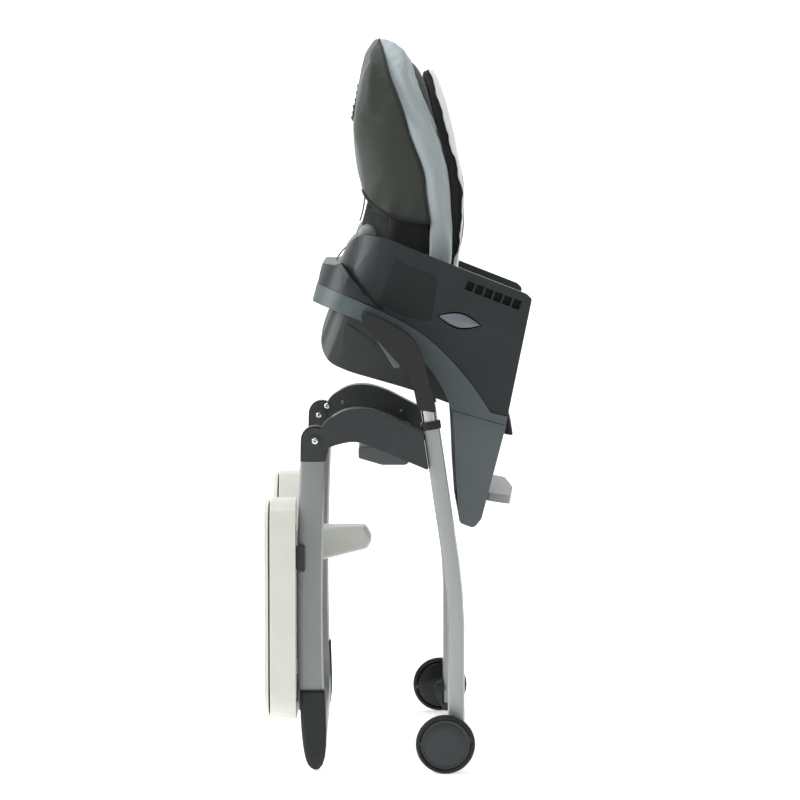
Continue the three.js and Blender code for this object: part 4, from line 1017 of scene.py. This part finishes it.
stitches = Pattern("stitches", Pitch="Float", Long="Float", Thick="Float")
curve = stitches.node("GeometryNodeMeshToCurve", Mesh=stitches.given("Geometry"))
curve = stitches.node("GeometryNodeResampleCurve", {"mode": "LENGTH"}, Curve=curve,
                      Length=stitches.given("Pitch"))
stitch = stitches.node("GeometryNodeMeshUVSphere", Segments=6, Rings=4, Radius=1.0)
stitch_size = stitches.node("ShaderNodeCombineXYZ", X=stitches.given("Thick"), Y=stitches.given("Thick"),
                            Z=stitches.given("Long"))
stitch = stitches.node("GeometryNodeTransform", Geometry=stitch, Scale=stitch_size)
heading = stitches.node("FunctionNodeAlignRotationToVector", {"axis": "Z"},
                        Vector=stitches.node("GeometryNodeInputTangent"))
stitches.close(stitches.node("GeometryNodeInstanceOnPoints", Points=curve, Instance=stitch, Rotation=heading))


def sew(name, paths, finish, body, slot, pitch=3.6, long=1.25, thick=0.35):
    """Rows of stitches along lines of points."""
    base = bpy.data.meshes.new(name)
    verts = [point for path in paths for point in path]
    edges, first = [], 0
    for path in paths:
        edges += [(first + k, first + k + 1) for k in range(len(path) - 1)]
        first += len(path)
    base.from_pydata(verts, edges, [])
    piece = stitches.grow(name, finish, base, Pitch=pitch * mm, Long=long * mm, Thick=thick * mm)
    return fitted(piece, finish, body, slot)


def strap_piece(name, line, half, thick, finish, body, slot, *nodes):
    """Flat webbing along a line of (point, outward) pairs."""
    rings = []
    across = Vector((0, half * mm, 0))
    for point, outward in line:
        rise = outward * thick * mm
        crowned = [point + across * share + rise * 1.15 for share in (-0.5, 0, 0.5)]
        under = [point + across * share for share in (1, 0.5, 0, -0.5)]
        rings.append([point - across, point - across + rise, *crowned, point + across + rise, *under])
    return fitted(edged(skin(name, rings, 1), 0.4 * mm, 40, 2), finish, body, slot, *nodes)


STRAP = {"y": 45, "low": -95, "high": 165, "half": 12.5, "thick": 1.8, "stitch_y": 10}
outward = (FORWARD * 0.9 + UPWARD * 0.4).normalized()
inward = (FORWARD * -1 - UPWARD * 0.3).normalized()
for side, out in SIDES:
    line = []
    for point in spline(INSERT_FRONT, 90):
        if STRAP["low"] < point.y < STRAP["high"]:
            hit = surface.ray_cast(seat(point.x + 60, point.y + 18, out * STRAP["y"]), inward, 0.2)[0]
            spot = hit if hit else seat(point.x + 1, point.y)
            spot.y = out * STRAP["y"] * mm
            line.append(spot + FORWARD * 0.6 * mm)
    smooth_line = []
    for k in range(len(line)):
        near = line[max(0, k - 3):k + 4]
        smooth_line.append(sum(near, Vector((0, 0, 0))) / len(near))
    strap_line = [(point + outward * 0.8 * mm, outward) for point in smooth_line]
    strap_piece(f"shoulder_webbing_{side}", strap_line, STRAP["half"], STRAP["thick"], webbing, "backrest",
                "webbing", f"shoulder_strap_{side}")
    rows = [[point + outward * 2.9 * mm + Vector((0, offset * mm, 0)) for point in smooth_line]
            for offset in (-STRAP["stitch_y"], STRAP["stitch_y"])]
    sew(f"shoulder_stitches_{side}", rows, thread, "backrest", "webbing")
moulded("crotch_strap", webbing, 0.4 * mm)
moulded("harness_buckle", buckle_black, 2.2 * mm)
back_way = (FORWARD * -0.95 - UPWARD * 0.2).normalized()
HANGING = [(-277, -24), (-281, -34), (-286.5, -46), (-289, -56), (-290, -62)]
BEHIND_SHELL = [(-287, 57), (-282, 40), (-278.5, 22), (-277.5, 8)]
for name, body, route, nodes in (("harness_tail", "booster", HANGING, []),
                                 ("back_webbing", "backrest", BEHIND_SHELL, ["harness_back_strap"])):
    strap_line = [(seat(u, w), back_way) for u, w in spline(route, 16)]
    strap_piece(name, strap_line, STRAP["half"], STRAP["thick"], webbing, body, "webbing", *nodes)

# ---------- seat pad ----------
# A black padded seat, sewn down in channels across its width, and a flap that hangs over the front edge of
# the tub.
PAD = {"rings": 58, "half": 158, "low": -149.4, "high": -126, "back": -247, "long": 266, "ends": 3,
       "channel": 14}
rings = []
for k in range(PAD["rings"]):
    t = k / (PAD["rings"] - 1)
    u = PAD["back"] + PAD["long"] * t
    half = PAD["half"] - 46 * max(0, 1 - t / 0.18) ** 2
    back, front = Vector((u, PAD["low"])), Vector((u, PAD["high"] + 1.2 * math.sin(math.pi * t)))
    crowned = [(0, 0, 0), (0, half - 2, 5), (0.5, half, 6), (1, half - 5, 8), (1, 0, 0)]
    rings.append(section(back, front, [(crowned, 58)]))
count = len(rings[0])
seat_cushion = skin("seat_cushion", rings, PAD["ends"])
held = set()
for r in range(PAD["channel"] // 2, PAD["rings"], PAD["channel"]):
    held |= set(range((PAD["ends"] + r) * count, (PAD["ends"] + r + 1) * count))
swollen(seat_cushion, held, 3.5 * mm, 3.0)
nudge(seat_cushion, held, lambda point: 0.8 * mm * noise.noise(point * 26))
cushioned(seat_cushion, black_cloth, "booster", "black_fabric", "seat_pad", fill=0.55)

FLAP = [(8, -130), (20, -127), (27, -136), (33, -158), (41, -180), (52, -197), (65, -220)]
rings = []
for k, point in enumerate(spline(FLAP, 40)):
    t = k / 39
    half = 61 - 12 * t ** 3
    back = point - Vector((3 + 8 * t * t, 2))
    rings.append(section(back, point, [([(0, 0, 0), (0, half, 1), (1, half - 0.5, 1.5), (1, 0, 0)], 26)]))
flap = skin("seat_flap", rings, 1)
nudge(flap, set(), lambda point: 1.0 * mm * math.sin(point.y * 110) * max(0, (0.66 - point.z) * 12))
cushioned(flap, black_cloth, "booster", "black_fabric", "seat_pad", fill=0.3)

# ---------- tray ----------
# An off-white polypropylene tray, hung upright on pegs behind the rear legs, with a loose dishwasher
# insert, grey side rails, a milky crotch post and a black release lever.
ivory = moulded_plastic("ivory_tray_plastic", (0.651, 0.66, 0.595), 0.35, 0.3)
insert_ivory = moulded_plastic("ivory_insert_plastic", (0.72, 0.73, 0.68), 0.3, 0.2)
milky = moulded_plastic("milky_plastic", (0.546, 0.559, 0.52), 0.35, 0.3)
release_black = moulded_plastic("release_plastic", (0.015, 0.016, 0.016), 0.4)
moulded("tray_base", ivory, 2.4 * mm)
moulded("tray_insert", insert_ivory, 2 * mm)
moulded("crotch_post", milky, 7 * mm)
moulded("tray_release", release_black, 1.5 * mm)
for side, _ in SIDES:
    moulded(f"tray_rail_{side}", band_grey, 1.5 * mm)

# ---------- sizes ----------
low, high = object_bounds()
